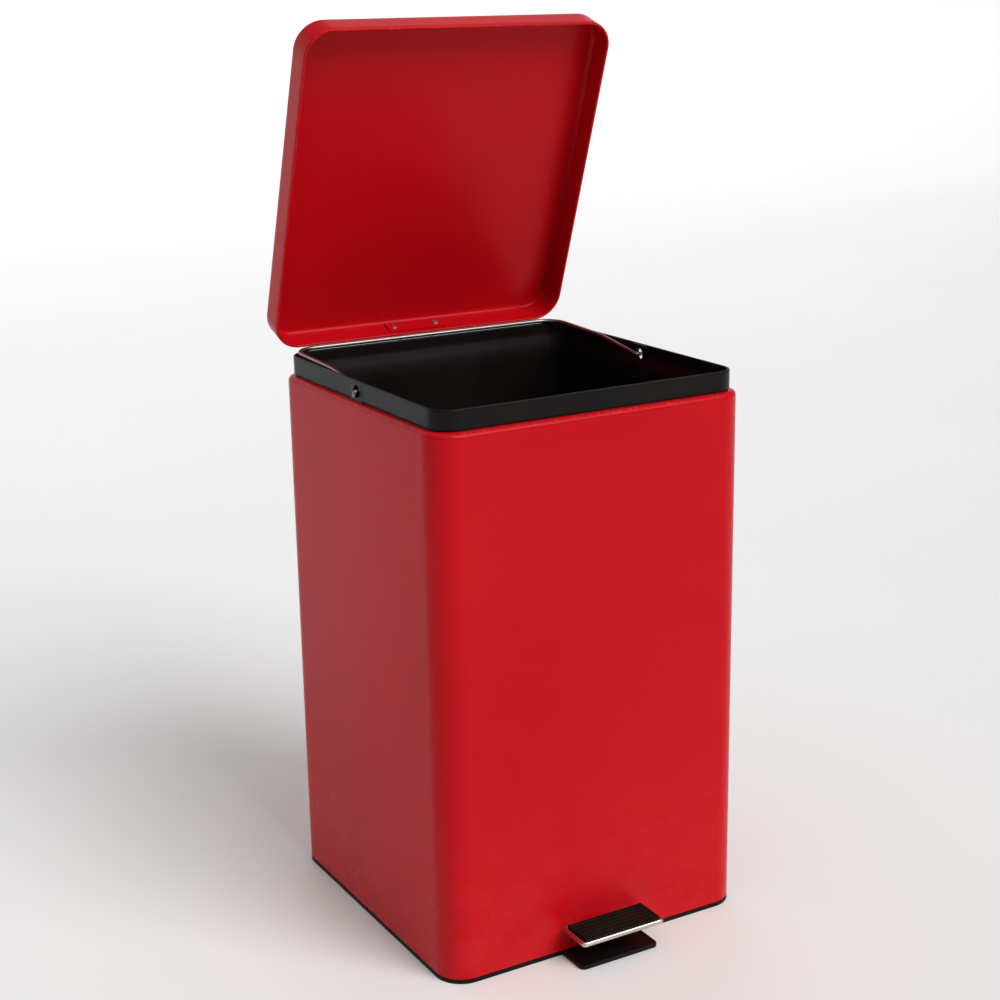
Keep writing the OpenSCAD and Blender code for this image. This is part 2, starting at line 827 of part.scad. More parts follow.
// ---- Pedal ----

module pedal_lever() {
    strip_front = riser_y - lever_t / 2 - pivot_y;
    tab_y = lever_reach - tab_r;
    top_z = pedal_z - plate_t - lever_t;
    riser_z = pivot_z + strip_rise + (riser_y - pivot_y) * sin(lever_tilt) - lever_t / 2;
    shelf_y = plate_back_y - pedal_l + 2 * plate_t + over;
    color("dimgray") difference() {
        union() {
            pressed() {
                translate([-lever_w / 2, strip_front, strip_z])
                    cube([lever_w, lever_reach + tab_r - strip_front, lever_t]);
                ear_pair(lever_w - 2 * lever_t, lever_t) {
                    circle(pivot_ear_r);
                    translate([-pivot_ear_r, 0]) square([2 * pivot_ear_r, strip_rise]);
                }
                side_plate(tab_x, lever_t) {
                    translate([tab_y, strip_rise]) square([2 * tab_r, tab_rise - strip_rise]);
                    translate([lever_reach, tab_rise]) circle(tab_r);
                }
            }
            translate([-lever_w / 2, riser_y - lever_t, riser_z])
                cube([lever_w, lever_t, top_z + lever_t - riser_z]);
            translate([-lever_w / 2, shelf_y, top_z]) cube([lever_w, riser_y - shelf_y, lever_t]);
        }
        pressed() {
            x_bar(-lever_w, lever_w, pivot_pin_d / 2 + pin_clear);
            translate([0, lever_reach, tab_rise]) x_bar(0, lever_w, tab_hole_r);
        }
        pedal_rivet_hole();
    }
}

module pedal_rivet_places() {
    for (s = [-1, 1]) translate([s * pedal_rivet_gap / 2, plate_mid_y - pedal_rivet_back,
        pedal_z - plate_t - lever_t]) children();
}

module pedal_rivet_hole() {
    pedal_rivet_places() translate([0, 0, -over])
        cylinder(h = lever_t + plate_t + 2 * over, r = rivet_d / 2 + fit_gap);
}

module pedal_plate() {
    color("gainsboro") translate([0, plate_mid_y, 0]) difference() {
        translate([0, 0, pedal_z - plate_lip]) rounded_slab(pedal_w, pedal_l, plate_corner_r, plate_lip);
        translate([0, 0, pedal_z - plate_lip - over])
            rounded_slab(pedal_w - 2 * plate_t, pedal_l - 2 * plate_t, plate_corner_r - plate_t,
                plate_lip - plate_t + over);
        translate([0, -plate_mid_y, 0]) pedal_rivet_hole();
    }
}

// The tread pad has two pockets underneath that clear the rivets' heads
module pedal_tread() {
    tread_w = pedal_w - 2 * tread_side;
    tread_l = pedal_l - 2 * tread_end;
    pitch = tread_l / (tread_grooves + 1);
    color("black") difference() {
        translate([0, plate_mid_y, pedal_z]) rounded_slab(tread_w, tread_l, plate_corner_r, tread_t);
        for (i = [1 : tread_grooves])
            translate([groove_side - tread_w / 2, plate_mid_y - tread_l / 2 + i * pitch - groove_w / 2,
                pedal_z + tread_t - groove_depth])
                cube([tread_w - 2 * groove_side, groove_w, groove_depth + over]);
        pedal_rivet_places() translate([0, 0, plate_t + lever_t - over])
            cylinder(h = over + rivet_head_h + fit_gap, r = rivet_head_d / 2 + fit_gap);
    }
}

module pedal_rivets() {
    color("silver") pedal_rivet_places() {
        cylinder(h = lever_t + plate_t, r = rivet_d / 2);
        translate([0, 0, lever_t + plate_t]) rivet_head();
        mirror([0, 0, 1]) rivet_head();
    }
}

module pedal_pivot_bracket() {
    w = pivot_ears + 2 * pivot_bracket_t;
    color("silver") difference() {
        union() {
            translate([-w / 2, pivot_y - pivot_bracket_l / 2, base_h]) cube([w, pivot_bracket_l, ear_t]);
            translate([0, pivot_y, pivot_z]) ear_pair(pivot_ears, pivot_bracket_t) {
                circle(pivot_ear_r);
                translate([-pivot_ear_r, base_h - pivot_z])
                    square([2 * pivot_ear_r, pivot_z - base_h]);
            }
        }
        translate([0, pivot_y, pivot_z]) x_bar(-w, w, pivot_pin_d / 2 + fit_gap);
        bracket_screw_places() screw_hole(0, 0);
    }
}

module pivot_bracket_screws() {
    color("silver") bracket_screw_places() screw_up(0, 0, floor_z, bracket_top_z);
}

module pedal_pivot_pin() {
    color("silver") translate([0, pivot_y, pivot_z])
        clipped_pin(pivot_ears + 2 * pivot_bracket_t, pivot_pin_d / 2);
}

module pivot_pin_clips() {
    color("gray") translate([0, pivot_y, pivot_z])
        pin_clips(pivot_ears + 2 * pivot_bracket_t, pivot_pin_d / 2);
}

outer_shell();
base_tray();
grip_pads();
base_screws();
anti_tip_foot();
foot_screws();
liner_bucket();
bail_handle();
lid_pan();
lid_backing_plate();
lid_lever_bracket();
lid_rivets();
body_hinge_bracket();
hinge_bracket_rivets();
hinge_pin();
hinge_pin_clips();
lift_rod();
rod_push_nuts();
lower_rod_guide();
upper_rod_guide();
rod_guide_rivets();
pedal_lever();
pedal_plate();
pedal_tread();
pedal_rivets();
pedal_pivot_bracket();
pivot_bracket_screws();
pedal_pivot_pin();
pivot_pin_clips();
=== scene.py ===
"""Looks for a square step-on waste can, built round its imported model.

The can stands with its pedal pressed, its lid raised and its liner's bail folded back. Sheet
steel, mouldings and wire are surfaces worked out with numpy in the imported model's own frame, in
metres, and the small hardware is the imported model's own, with finishes of its own.
"""

import json
import math

import bmesh
import bpy
import numpy as np
from bpy.props import FloatProperty, FloatVectorProperty, IntProperty, PointerProperty
from mathutils import Matrix, Vector


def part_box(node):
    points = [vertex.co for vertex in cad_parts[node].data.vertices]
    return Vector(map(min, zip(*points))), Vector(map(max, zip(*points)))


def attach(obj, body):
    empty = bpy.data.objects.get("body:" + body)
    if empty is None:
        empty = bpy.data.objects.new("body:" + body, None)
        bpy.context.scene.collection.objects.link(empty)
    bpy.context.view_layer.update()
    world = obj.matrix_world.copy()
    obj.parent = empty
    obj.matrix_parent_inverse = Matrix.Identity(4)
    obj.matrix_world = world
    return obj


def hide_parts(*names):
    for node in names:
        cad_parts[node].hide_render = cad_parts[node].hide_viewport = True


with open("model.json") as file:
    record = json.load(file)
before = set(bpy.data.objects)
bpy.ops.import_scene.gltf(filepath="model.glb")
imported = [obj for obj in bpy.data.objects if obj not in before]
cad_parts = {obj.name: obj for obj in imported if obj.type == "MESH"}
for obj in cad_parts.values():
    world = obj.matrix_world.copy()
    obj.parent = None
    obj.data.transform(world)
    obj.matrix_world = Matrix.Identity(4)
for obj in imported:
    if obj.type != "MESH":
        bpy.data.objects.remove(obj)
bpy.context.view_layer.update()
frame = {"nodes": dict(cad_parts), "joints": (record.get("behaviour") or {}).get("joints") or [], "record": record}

bl_info = {
    "name": "Step-on waste can",
    "version": (1, 0, 0),
    "blender": (4, 5, 0),
    "location": "3D View > Sidebar > Waste can",
    "description": "Builds the sheet steel, liner, bail, pedal and finishes of a step-on waste can",
    "category": "Object",
}

MM = 0.001
TURN = 2 * math.pi
BODY_ARC, BODY_SIDE = 20, 36    # steps round a corner and along a side of the body and the lid
CREST = 0.3                     # share of a rolled edge's radius, below its top, where it wears and where a painted highlight goes

# ---- Places taken from the imported model ----

JOINTS = {j["name"]: j for j in frame["joints"]}
SHELL_LOW, SHELL_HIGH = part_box("outer_shell")
LINER_LOW, LINER_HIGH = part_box("liner_bucket")
BAIL_LOW, BAIL_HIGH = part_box("bail_handle")
PLATE_LOW, PLATE_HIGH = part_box("pedal_plate")
TREAD_LOW, TREAD_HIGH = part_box("pedal_tread")
FOOT_LOW, FOOT_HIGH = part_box("anti_tip_foot")

HALF_X = SHELL_HIGH.x
HALF_Y = SHELL_HIGH.y
SHOULDER_Z = SHELL_HIGH.z
HINGE = Vector(JOINTS["lid_hinge"]["pos_m"])
LID_OPEN = math.radians(-JOINTS["lid_hinge"]["range_deg"][0])
BAIL_PIVOT_Z = JOINTS["bail_swing"]["pos_m"][2]


def turned(points, about, angle):
    """Points turned about a line along X through about, from Y towards Z by angle."""
    y, z = points[..., 1] - about.y, points[..., 2] - about.z
    c, s = math.cos(angle), math.sin(angle)
    return np.stack([points[..., 0], about.y + c * y - s * z, about.z + s * y + c * z], -1)


def mesh_points(mesh):
    """A mesh's vertices as an array."""
    co = np.empty(len(mesh.vertices) * 3)
    mesh.vertices.foreach_get("co", co)
    return co.reshape(-1, 3)


LID_SHUT = turned(mesh_points(frame["nodes"]["lid_pan"].data), HINGE, LID_OPEN)
LID_LOW, LID_HIGH = LID_SHUT.min(0), LID_SHUT.max(0)


# ---- Settings ----


class SheetSettings(bpy.types.PropertyGroup):
    corner: FloatProperty(
        name="Corner radius", description="Outside radius of the body's upright corners",
        default=25 * MM, min=5 * MM, unit="LENGTH")
    gauge: FloatProperty(
        name="Sheet", description="Thickness of the sheet steel",
        default=0.8 * MM, min=0.3 * MM, unit="LENGTH")
    shoulder: FloatProperty(
        name="Shoulder", description="Radius of the rolled shoulder round the mouth",
        default=5 * MM, min=1 * MM, unit="LENGTH")
    flange: FloatProperty(
        name="Mouth flange", description="Width of the turned-in flange that carries the liner",
        default=8 * MM, min=2 * MM, unit="LENGTH")
    curl: FloatProperty(
        name="Mouth curl", description="Depth of the turned-down edge inside the mouth",
        default=6 * MM, min=1 * MM, unit="LENGTH")
    foot: FloatProperty(
        name="Foot flange", description="Width of the turned-in flange round the body's foot",
        default=10 * MM, min=2 * MM, unit="LENGTH")
    bow: FloatProperty(
        name="Bow", description="How far the front and side panels bow outwards in the middle",
        default=0.7 * MM, min=0, unit="LENGTH")
    lid_edge: FloatProperty(
        name="Lid edge", description="Radius of the lid's rolled top edge",
        default=5 * MM, min=1 * MM, unit="LENGTH")
    lid_crown: FloatProperty(
        name="Lid crown", description="How far the lid's panel rises in the middle",
        default=0.8 * MM, min=0, unit="LENGTH")
    hem: FloatProperty(
        name="Lid hem", description="Height of the folded hem on the lid's skirt",
        default=4 * MM, min=1 * MM, unit="LENGTH")
    bead: FloatProperty(
        name="Lid bead", description="Radius of the rolled bead along the lid's free edge",
        default=1.3 * MM, min=0.5 * MM, unit="LENGTH")
    gather: FloatProperty(
        name="Gather", description="Depth of the puckers where the lid's sheet gathers in its corners",
        default=1.1 * MM, min=0, unit="LENGTH")
    colour: FloatVectorProperty(
        name="Enamel", description="Colour of the baked enamel",
        default=(0.52, 0.001, 0.006), size=3, min=0, max=1, subtype="COLOR")


class LinerSettings(bpy.types.PropertyGroup):
    wall: FloatProperty(
        name="Wall", description="Thickness of the liner's wall",
        default=2.2 * MM, min=1 * MM, unit="LENGTH")
    draft: FloatProperty(
        name="Draft", description="How much narrower each side is at the liner's floor",
        default=10 * MM, min=0, unit="LENGTH")
    band_gap: FloatProperty(
        name="Band gap", description="Shadow gap between the rim band and the shoulder",
        default=1.3 * MM, min=0, unit="LENGTH")
    hole: FloatProperty(
        name="Bail hole", description="Diameter of the holes that the bail hangs in",
        default=11 * MM, min=4 * MM, unit="LENGTH")
    boss: FloatProperty(
        name="Boss", description="Width of the pad round each bail hole",
        default=23 * MM, min=12 * MM, unit="LENGTH")
    boss_depth: FloatProperty(
        name="Boss depth", description="Height of the pad round each bail hole",
        default=29 * MM, min=16 * MM, unit="LENGTH")
    colour: FloatVectorProperty(
        name="Liner", description="Colour of the liner's plastic",
        default=(0.0065, 0.005, 0.0045), size=3, min=0, max=1, subtype="COLOR")
    base_colour: FloatVectorProperty(
        name="Base", description="Colour of the base's and the foot's plastic",
        default=(0.006, 0.0045, 0.004), size=3, min=0, max=1, subtype="COLOR")


class WireSettings(bpy.types.PropertyGroup):
    diameter: FloatProperty(
        name="Wire", description="Diameter of the bail's wire",
        default=3.8 * MM, min=1 * MM, unit="LENGTH")
    corner: FloatProperty(
        name="Corner", description="Radius of the bail's back corners",
        default=20 * MM, min=5 * MM, unit="LENGTH")
    inset: FloatProperty(
        name="Arm inset", description="Distance of the bail's arms in from the body's sides",
        default=11.5 * MM, min=5 * MM, unit="LENGTH")
    hook_bend: FloatProperty(
        name="Hook bend", description="Radius of the bends at the hooks",
        default=2.5 * MM, min=1 * MM, unit="LENGTH")
    knee: FloatProperty(
        name="Knee", description="Distance behind the pivots at which the arms bend level",
        default=60 * MM, min=20 * MM, unit="LENGTH")
    rise: FloatProperty(
        name="Knee depth", description="Height of the back bar above the knees",
        default=3 * MM, min=0, unit="LENGTH")


class PedalSettings(bpy.types.PropertyGroup):
    lip: FloatProperty(
        name="Lip radius", description="Radius of the rolled border of the pedal plate",
        default=1.6 * MM, min=0.3 * MM, unit="LENGTH")
    roll: FloatProperty(
        name="Lip height", description="How far the rolled border rises above the plate",
        default=0.3 * MM, min=0, unit="LENGTH")
    gauge: FloatProperty(
        name="Plate", description="Thickness of the pedal plate",
        default=1.2 * MM, min=0.4 * MM, unit="LENGTH")
    corner: FloatProperty(
        name="Plate corner", description="Radius of the pedal plate's corners",
        default=3.5 * MM, min=1 * MM, unit="LENGTH")
    under: FloatProperty(
        name="Under roll", description="Radius by which the lips' lower edge rolls under the plate",
        default=2.2 * MM, min=0.5 * MM, unit="LENGTH")
    reach: FloatProperty(
        name="Tread reach", description="How far the tread pad laps forward onto the rolled border",
        default=1 * MM, min=0, unit="LENGTH")
    ribs: IntProperty(
        name="Ribs", description="Number of ribs across the tread pad", default=6, min=2, max=12)
    rib_depth: FloatProperty(
        name="Rib depth", description="Depth of the grooves between the ribs",
        default=0.7 * MM, min=0, unit="LENGTH")
    foot_edge: FloatProperty(
        name="Foot edge", description="Radius of the anti-tip foot's rounded edges",
        default=0.9 * MM, min=0.2 * MM, unit="LENGTH")


class StageSettings(bpy.types.PropertyGroup):
    lens: FloatProperty(
        name="Lens", description="Focal length of the camera, in millimetres",
        default=65.3, min=20, max=200)
    azimuth: FloatProperty(
        name="Azimuth", description="Direction of the camera's view, from +Y towards +X",
        default=math.radians(29.81), subtype="ANGLE")
    pitch: FloatProperty(
        name="Pitch", description="How far the camera looks down",
        default=math.radians(15.62), subtype="ANGLE")
    roll: FloatProperty(
        name="Roll", description="How far the camera is tipped to one side",
        default=math.radians(-0.99), subtype="ANGLE")
    place: FloatVectorProperty(
        name="Place", description="Where the camera stands",
        default=(-0.7813, -1.3499, 0.8050), size=3, subtype="TRANSLATION", unit="LENGTH")
    key: FloatProperty(
        name="Key light", description="Strength of the soft light high at the front right",
        default=2.3, min=0)
    top: FloatProperty(
        name="Top light", description="Strength of the broad soft light overhead",
        default=0.7, min=0)
    sky: FloatProperty(
        name="Sky", description="Strength of the light from the pale surroundings", default=0.2, min=0)
    wall: FloatProperty(
        name="Far wall", description="Brightness of the surroundings beyond the floor",
        default=0.8, min=0)


# ---- Shapes ----


def arc(cx, cz, r, start, end, steps):
    """Points of an arc: centre plus r (cos a, sin a), with a from start to end quarter turns."""
    a = np.linspace(start, end, steps + 1) * math.pi / 2
    return np.stack([cx + r * np.cos(a), cz + r * np.sin(a)], 1)


def chain(*runs):
    """Joins runs of profile points end to end and leaves out points that repeat."""
    points = np.concatenate([np.atleast_2d(np.array(r, float)) for r in runs])
    keep = np.r_[True, np.linalg.norm(np.diff(points, axis=0), axis=1) > 1e-7]
    return points[keep]


def stations(low, high, step):
    """Evenly spaced values from low to high, no further apart than step."""
    return np.linspace(low, high, max(2, math.ceil(abs(high - low) / step) + 1))


def rounded_loop(half_x, half_y, radius, arc_steps, side_steps):
    """The corner-centre line and the outward direction round a rounded rectangle, anticlockwise.
    A point of the loop at inset i is the centre plus the direction times (radius - i)."""
    quarter = np.linspace(0, math.pi / 2, arc_steps + 1)
    corner = np.array([[half_x - radius, half_y - radius]])
    signs = np.array([[1, 1], [-1, 1], [-1, -1], [1, -1]])
    centres, outs = [], []
    for k in range(4):
        angle = quarter + k * math.pi / 2
        out = np.stack([np.cos(angle), np.sin(angle)], 1)
        here, there = corner * signs[k], corner * signs[(k + 1) % 4]
        t = np.linspace(0, 1, side_steps + 1)[1:-1, None]
        centres += [np.repeat(here, len(out), 0), here + (there - here) * t]
        outs += [out, np.repeat(out[-1:], len(t), 0)]
    return np.concatenate(centres), np.concatenate(outs)


def carried(loop, radius, profile):
    """A profile of (inset, height) carried round a loop, as one ring of points to a profile point."""
    centres, outs = loop
    inset, height = profile[:, 0], profile[:, 1]
    flat = centres[None] + outs[None] * (radius - inset)[:, None, None]
    z = np.repeat(height[:, None, None], flat.shape[1], 1)
    return np.concatenate([flat, z], 2)


def shrunk(ring, steps, power=1.0):
    """Rings that shrink one flat ring towards its middle, by (1 - t) for each step t short of 1."""
    t = (np.arange(1, steps) / steps) ** power
    middle = np.array([ring[:, 0].mean(), ring[:, 1].mean(), 0])
    out = middle + (ring[None] - middle) * (1 - t)[:, None, None]
    out[..., 2] = ring[None, :, 2]
    return out


def strip_faces(rings, count, closed):
    """Quads between each ring and the next; closed also joins the last ring to the first."""
    i = np.arange(rings if closed else rings - 1)[:, None]
    j = np.arange(count)[None]
    a, b = i * count + j, i * count + (j + 1) % count
    c, d = ((i + 1) % rings) * count + (j + 1) % count, ((i + 1) % rings) * count + j
    return np.stack(np.broadcast_arrays(a, b, c, d), -1).reshape(-1, 4)


def fan_faces(first, pole, count, flip):
    """Triangles between the ring that starts at vertex first and a pole vertex."""
    j = np.arange(count)
    a, b = first + j, first + (j + 1) % count
    p = np.full(count, pole)
    return np.stack([b, a, p] if flip else [a, b, p], 1)


def new_piece(name, points, faces, smooth=True, sharp=35):
    """A mesh object from points and face arrays, smooth except across edges over sharp degrees."""
    mesh = bpy.data.meshes.new(name)
    mesh.from_pydata(points.tolist(), [], [f for block in faces for f in block.tolist()])
    mesh.update()
    mesh.validate()
    piece = bpy.data.objects.new(name, mesh)
    bpy.context.scene.collection.objects.link(piece)
    if smooth:
        shade(piece, sharp)
    return piece


def shade(piece, sharp):
    """Smooth shading, except across edges sharper than sharp degrees."""
    piece.data.shade_smooth()
    piece.data.set_sharp_from_angle(angle=math.radians(sharp))


def ring_piece(name, rings, closed=False, poles=(None, None), sharp=35):
    """A piece from rings of points, either closed end to end or ending in poles.
    Faces point outwards where the rings climb the outside, anticlockwise seen from above."""
    count = rings.shape[1]
    points = rings.reshape(-1, 3)
    faces = [strip_faces(len(rings), count, closed)]
    for end, pole in enumerate(poles):
        if pole is None:
            continue
        points = np.concatenate([points, np.array([pole], float)])
        first = 0 if end == 0 else (len(rings) - 1) * count
        faces.append(fan_faces(first, len(points) - 1, count, flip=end == 0))
    return new_piece(name, points, faces, sharp=sharp)


def slab_piece(name, low, high, corner, top, rows, columns, edge):
    """A rounded slab on a grid. Each row spans the rounded rectangle's width at its y, the top's
    height is top(x, y), the underside is flat, and the two are joined by the border's wall."""
    hx, hy = (high[0] - low[0]) / 2, (high[1] - low[1]) / 2
    cx, cy = (high[0] + low[0]) / 2, (high[1] + low[1]) / 2
    bend = np.sin(np.linspace(0, math.pi / 2, 7)) * corner
    straight = stations(corner - hy, hy - corner, 2 * hy / rows)[1:-1]
    ys = np.concatenate([-hy + corner - bend[::-1], straight, hy - corner + bend])
    past = np.maximum(np.abs(ys) - (hy - corner), 0)
    reach = hx - corner + np.sqrt(np.maximum(corner**2 - past**2, 0))
    rim = edge / hx
    inside = 1 - 2.5 * rim
    us = np.concatenate([[-1, rim - 1], stations(-inside, inside, 2 / columns), [1 - rim, 1]])
    x = us[None] * reach[:, None]
    y = np.repeat(ys[:, None], len(us), 1)
    upper = np.stack([x + cx, y + cy, top(x, y)], -1)
    lower = np.stack([x + cx, y + cy, np.full_like(x, low[2])], -1)
    r, c = x.shape
    points = np.concatenate([upper.reshape(-1, 3), lower.reshape(-1, 3)])
    i, j = np.meshgrid(np.arange(r - 1), np.arange(c - 1), indexing="ij")
    a = (i * c + j).ravel()
    quads = np.stack([a, a + 1, a + c + 1, a + c], 1)
    under = quads[:, ::-1] + r * c
    border = np.concatenate([np.arange(c - 1), np.arange(r - 1) * c + c - 1,
                             (r - 1) * c + np.arange(c - 1, 0, -1), np.arange(r - 1, 0, -1) * c])
    nxt = np.roll(border, -1)
    wall = np.stack([nxt, border, border + r * c, nxt + r * c], 1)
    return new_piece(name, points, [quads, under, wall], sharp=60)


def rounded_line(corners, bends, step):
    """A line through corners, each rounded by an arc of its own radius: the arc starts radius times
    tan(half the turn) before the corner, and its points lie at equal angles."""
    corners = [np.array(c, float) for c in corners]
    line = [corners[0]]
    for before, here, after, r in zip(corners, corners[1:], corners[2:], bends):
        u, v = before - here, after - here
        u, v = u / np.linalg.norm(u), v / np.linalg.norm(v)
        turn = math.pi - math.acos(np.clip(u @ v, -1, 1))
        if turn < 1e-3:
            line.append(here)
            continue
        axis = (u + v) / np.linalg.norm(u + v)
        centre = here + axis * r / math.cos(turn / 2)
        n = max(3, math.ceil(turn / math.radians(7)))
        p = -axis
        q = (v - u) / np.linalg.norm(v - u)
        for a in np.linspace(-turn / 2, turn / 2, n + 1):
            line.append(centre + r * (math.cos(a) * p + math.sin(a) * q))
    line.append(corners[-1])
    dense = [line[0]]
    for a, b in zip(line, line[1:]):
        n = max(1, math.ceil(np.linalg.norm(b - a) / step))
        dense += [a + (b - a) * k / n for k in range(1, n + 1)]
    return np.array(dense)


def wire_piece(name, line, radius, sides=20):
    """A round wire along a line. Each ring is turned from the last by the least rotation, and each
    end closes with a half ball: rings of radius r cos(a) pushed out by r sin(a), and a pole."""
    along = np.gradient(line, axis=0)
    along /= np.linalg.norm(along, axis=1)[:, None]
    side = np.cross(along[0], [0, 1, 0])
    if np.linalg.norm(side) < 0.1:
        side = np.cross(along[0], [1, 0, 0])
    frames = []
    for t in along:
        side = side - (side @ t) * t
        side /= np.linalg.norm(side)
        frames.append((side.copy(), np.cross(t, side)))
    angle = np.linspace(0, TURN, sides, endpoint=False)

    def ring(k, push, r):
        a, b = frames[k]
        round_ = np.cos(angle)[:, None] * a + np.sin(angle)[:, None] * b
        return line[k] + along[k] * push + round_ * r

    caps = np.linspace(0, math.pi / 2, 5)[1:-1]
    rings = [ring(0, -radius * math.sin(a), radius * math.cos(a)) for a in caps[::-1]]
    rings += [ring(k, 0, radius) for k in range(len(line))]
    rings += [ring(-1, radius * math.sin(a), radius * math.cos(a)) for a in caps]
    poles = (line[0] - along[0] * radius, line[-1] + along[-1] * radius)
    return ring_piece(name, np.array(rings), poles=poles, sharp=180)


def keep_closed(piece):
    """Turns every face outwards, by the piece's own closed shape."""
    mesh = bmesh.new()
    mesh.from_mesh(piece.data)
    bmesh.ops.recalc_face_normals(mesh, faces=mesh.faces)
    mesh.to_mesh(piece.data)
    mesh.free()
    return piece


def cut(piece, cutters):
    """Takes the cutters' shapes out of a piece, and removes the cutters."""
    bpy.context.view_layer.update()
    for cutter in cutters:
        change = piece.modifiers.new("Cut", "BOOLEAN")
        change.operation, change.solver, change.object = "DIFFERENCE", "EXACT", cutter
        with bpy.context.temp_override(object=piece, active_object=piece):
            bpy.ops.object.modifier_apply(modifier=change.name)
        bpy.data.objects.remove(cutter)
    return piece


def block(name, low, high):
    """A plain box, used as a cutter."""
    x, y, z = (np.array([low[k], high[k]]) for k in range(3))
    corners = np.array([[x[i], y[j], z[k]] for k in (0, 1) for j in (0, 1) for i in (0, 1)])
    faces = np.array([[0, 2, 3, 1], [4, 5, 7, 6], [0, 1, 5, 4],
                      [2, 6, 7, 3], [0, 4, 6, 2], [1, 3, 7, 5]])
    return new_piece(name, corners, [faces], smooth=False)


def peg(name, centre, radius, half, axis, sides=48):
    """A plain round bar along an axis (0 for X, 1 for Y, 2 for Z), used as a cutter."""
    a = np.linspace(0, TURN, sides, endpoint=False)
    ring = np.zeros((2, sides, 3))
    others = [k for k in range(3) if k != axis]
    for k, sign in enumerate((-1, 1)):
        ring[k, :, axis] = sign * half
        ring[k, :, others[0]] = radius * np.cos(a)
        ring[k, :, others[1]] = radius * np.sin(a)
    ring += np.array(centre)
    caps = [np.arange(sides)[None, ::-1], np.arange(sides)[None] + sides]
    piece = new_piece(name, ring.reshape(-1, 3), [strip_faces(2, sides, False), *caps], smooth=False)
    return keep_closed(piece)


# ---- Finishes ----


class Finish:
    """A material under construction, with short calls for its nodes and links."""

    def __init__(self, name, colour, rough, metal=0.0):
        self.material = bpy.data.materials.new(name)
        self.material.use_nodes = True
        self.tree = self.material.node_tree
        self.shader = self.tree.nodes["Principled BSDF"]
        self.colour = (*colour, 1)
        self.shader.inputs["Base Color"].default_value = self.colour
        self.shader.inputs["Roughness"].default_value = rough
        self.shader.inputs["Metallic"].default_value = metal
        self.place = self.add("ShaderNodeTexCoord").outputs["Object"]

    def add(self, kind, **settings):
        node = self.tree.nodes.new(kind)
        for key, value in settings.items():
            setattr(node, key, value)
        return node

    def join(self, source, target):
        self.tree.links.new(source, target)

    def stretched(self, scale):
        """Object coordinates stretched by a scale along each axis."""
        node = self.add("ShaderNodeMapping")
        node.inputs["Scale"].default_value = scale
        self.join(self.place, node.inputs["Vector"])
        return node.outputs["Vector"]

    def noise(self, scale, detail=3.0, rough=0.5, vector=None):
        node = self.add("ShaderNodeTexNoise")
        node.inputs["Scale"].default_value = scale
        node.inputs["Detail"].default_value = detail
        node.inputs["Roughness"].default_value = rough
        self.join(self.place if vector is None else vector, node.inputs["Vector"])
        return node.outputs["Fac"]

    def cells(self, scale, vector=None):
        node = self.add("ShaderNodeTexVoronoi")
        node.inputs["Scale"].default_value = scale
        self.join(self.place if vector is None else vector, node.inputs["Vector"])
        return node.outputs["Distance"]

    def level(self, value, low, high, out_low=0.0, out_high=1.0):
        node = self.add("ShaderNodeMapRange")
        limits = {"From Min": low, "From Max": high, "To Min": out_low, "To Max": out_high}
        for key, number in limits.items():
            node.inputs[key].default_value = number
        self.join(value, node.inputs["Value"])
        return node.outputs["Result"]

    def maths(self, operation, a, b):
        node = self.add("ShaderNodeMath", operation=operation)
        for socket, value in zip(node.inputs, (a, b)):
            if isinstance(value, (int, float)):
                socket.default_value = value
            else:
                self.join(value, socket)
        return node.outputs[0]

    def attribute(self, name):
        return self.add("ShaderNodeAttribute", attribute_name=name).outputs["Fac"]

    def height(self):
        """Object height above the floor."""
        node = self.add("ShaderNodeSeparateXYZ")
        self.join(self.place, node.inputs[0])
        return node.outputs["Z"]

    def tint(self, share, a, b):
        """A colour between a and b, where each is a colour or another tint."""
        node = self.add("ShaderNodeMix", data_type="RGBA")
        self.join(share, node.inputs[0])
        for socket, value in ((node.inputs[6], a), (node.inputs[7], b)):
            if isinstance(value, bpy.types.NodeSocket):
                self.join(value, socket)
            else:
                socket.default_value = (*value[:3], 1)
        return node.outputs[2]

    def bumps(self, *layers):
        """Stacks layers of (height, strength, distance) into the shader's normal."""
        last = None
        for value, strength, distance in layers:
            node = self.add("ShaderNodeBump")
            node.inputs["Strength"].default_value = strength
            node.inputs["Distance"].default_value = distance
            self.join(value, node.inputs["Height"])
            if last is not None:
                self.join(last, node.inputs["Normal"])
            last = node.outputs["Normal"]
        self.join(last, self.shader.inputs["Normal"])

    def done(self, colour=None, rough=None, **plain):
        if colour is not None:
            self.join(colour, self.shader.inputs["Base Color"])
        if rough is not None:
            self.join(rough, self.shader.inputs["Roughness"])
        for key, value in plain.items():
            self.shader.inputs[key.replace("_", " ")].default_value = value
        self.material.diffuse_color = self.colour
        return self.material


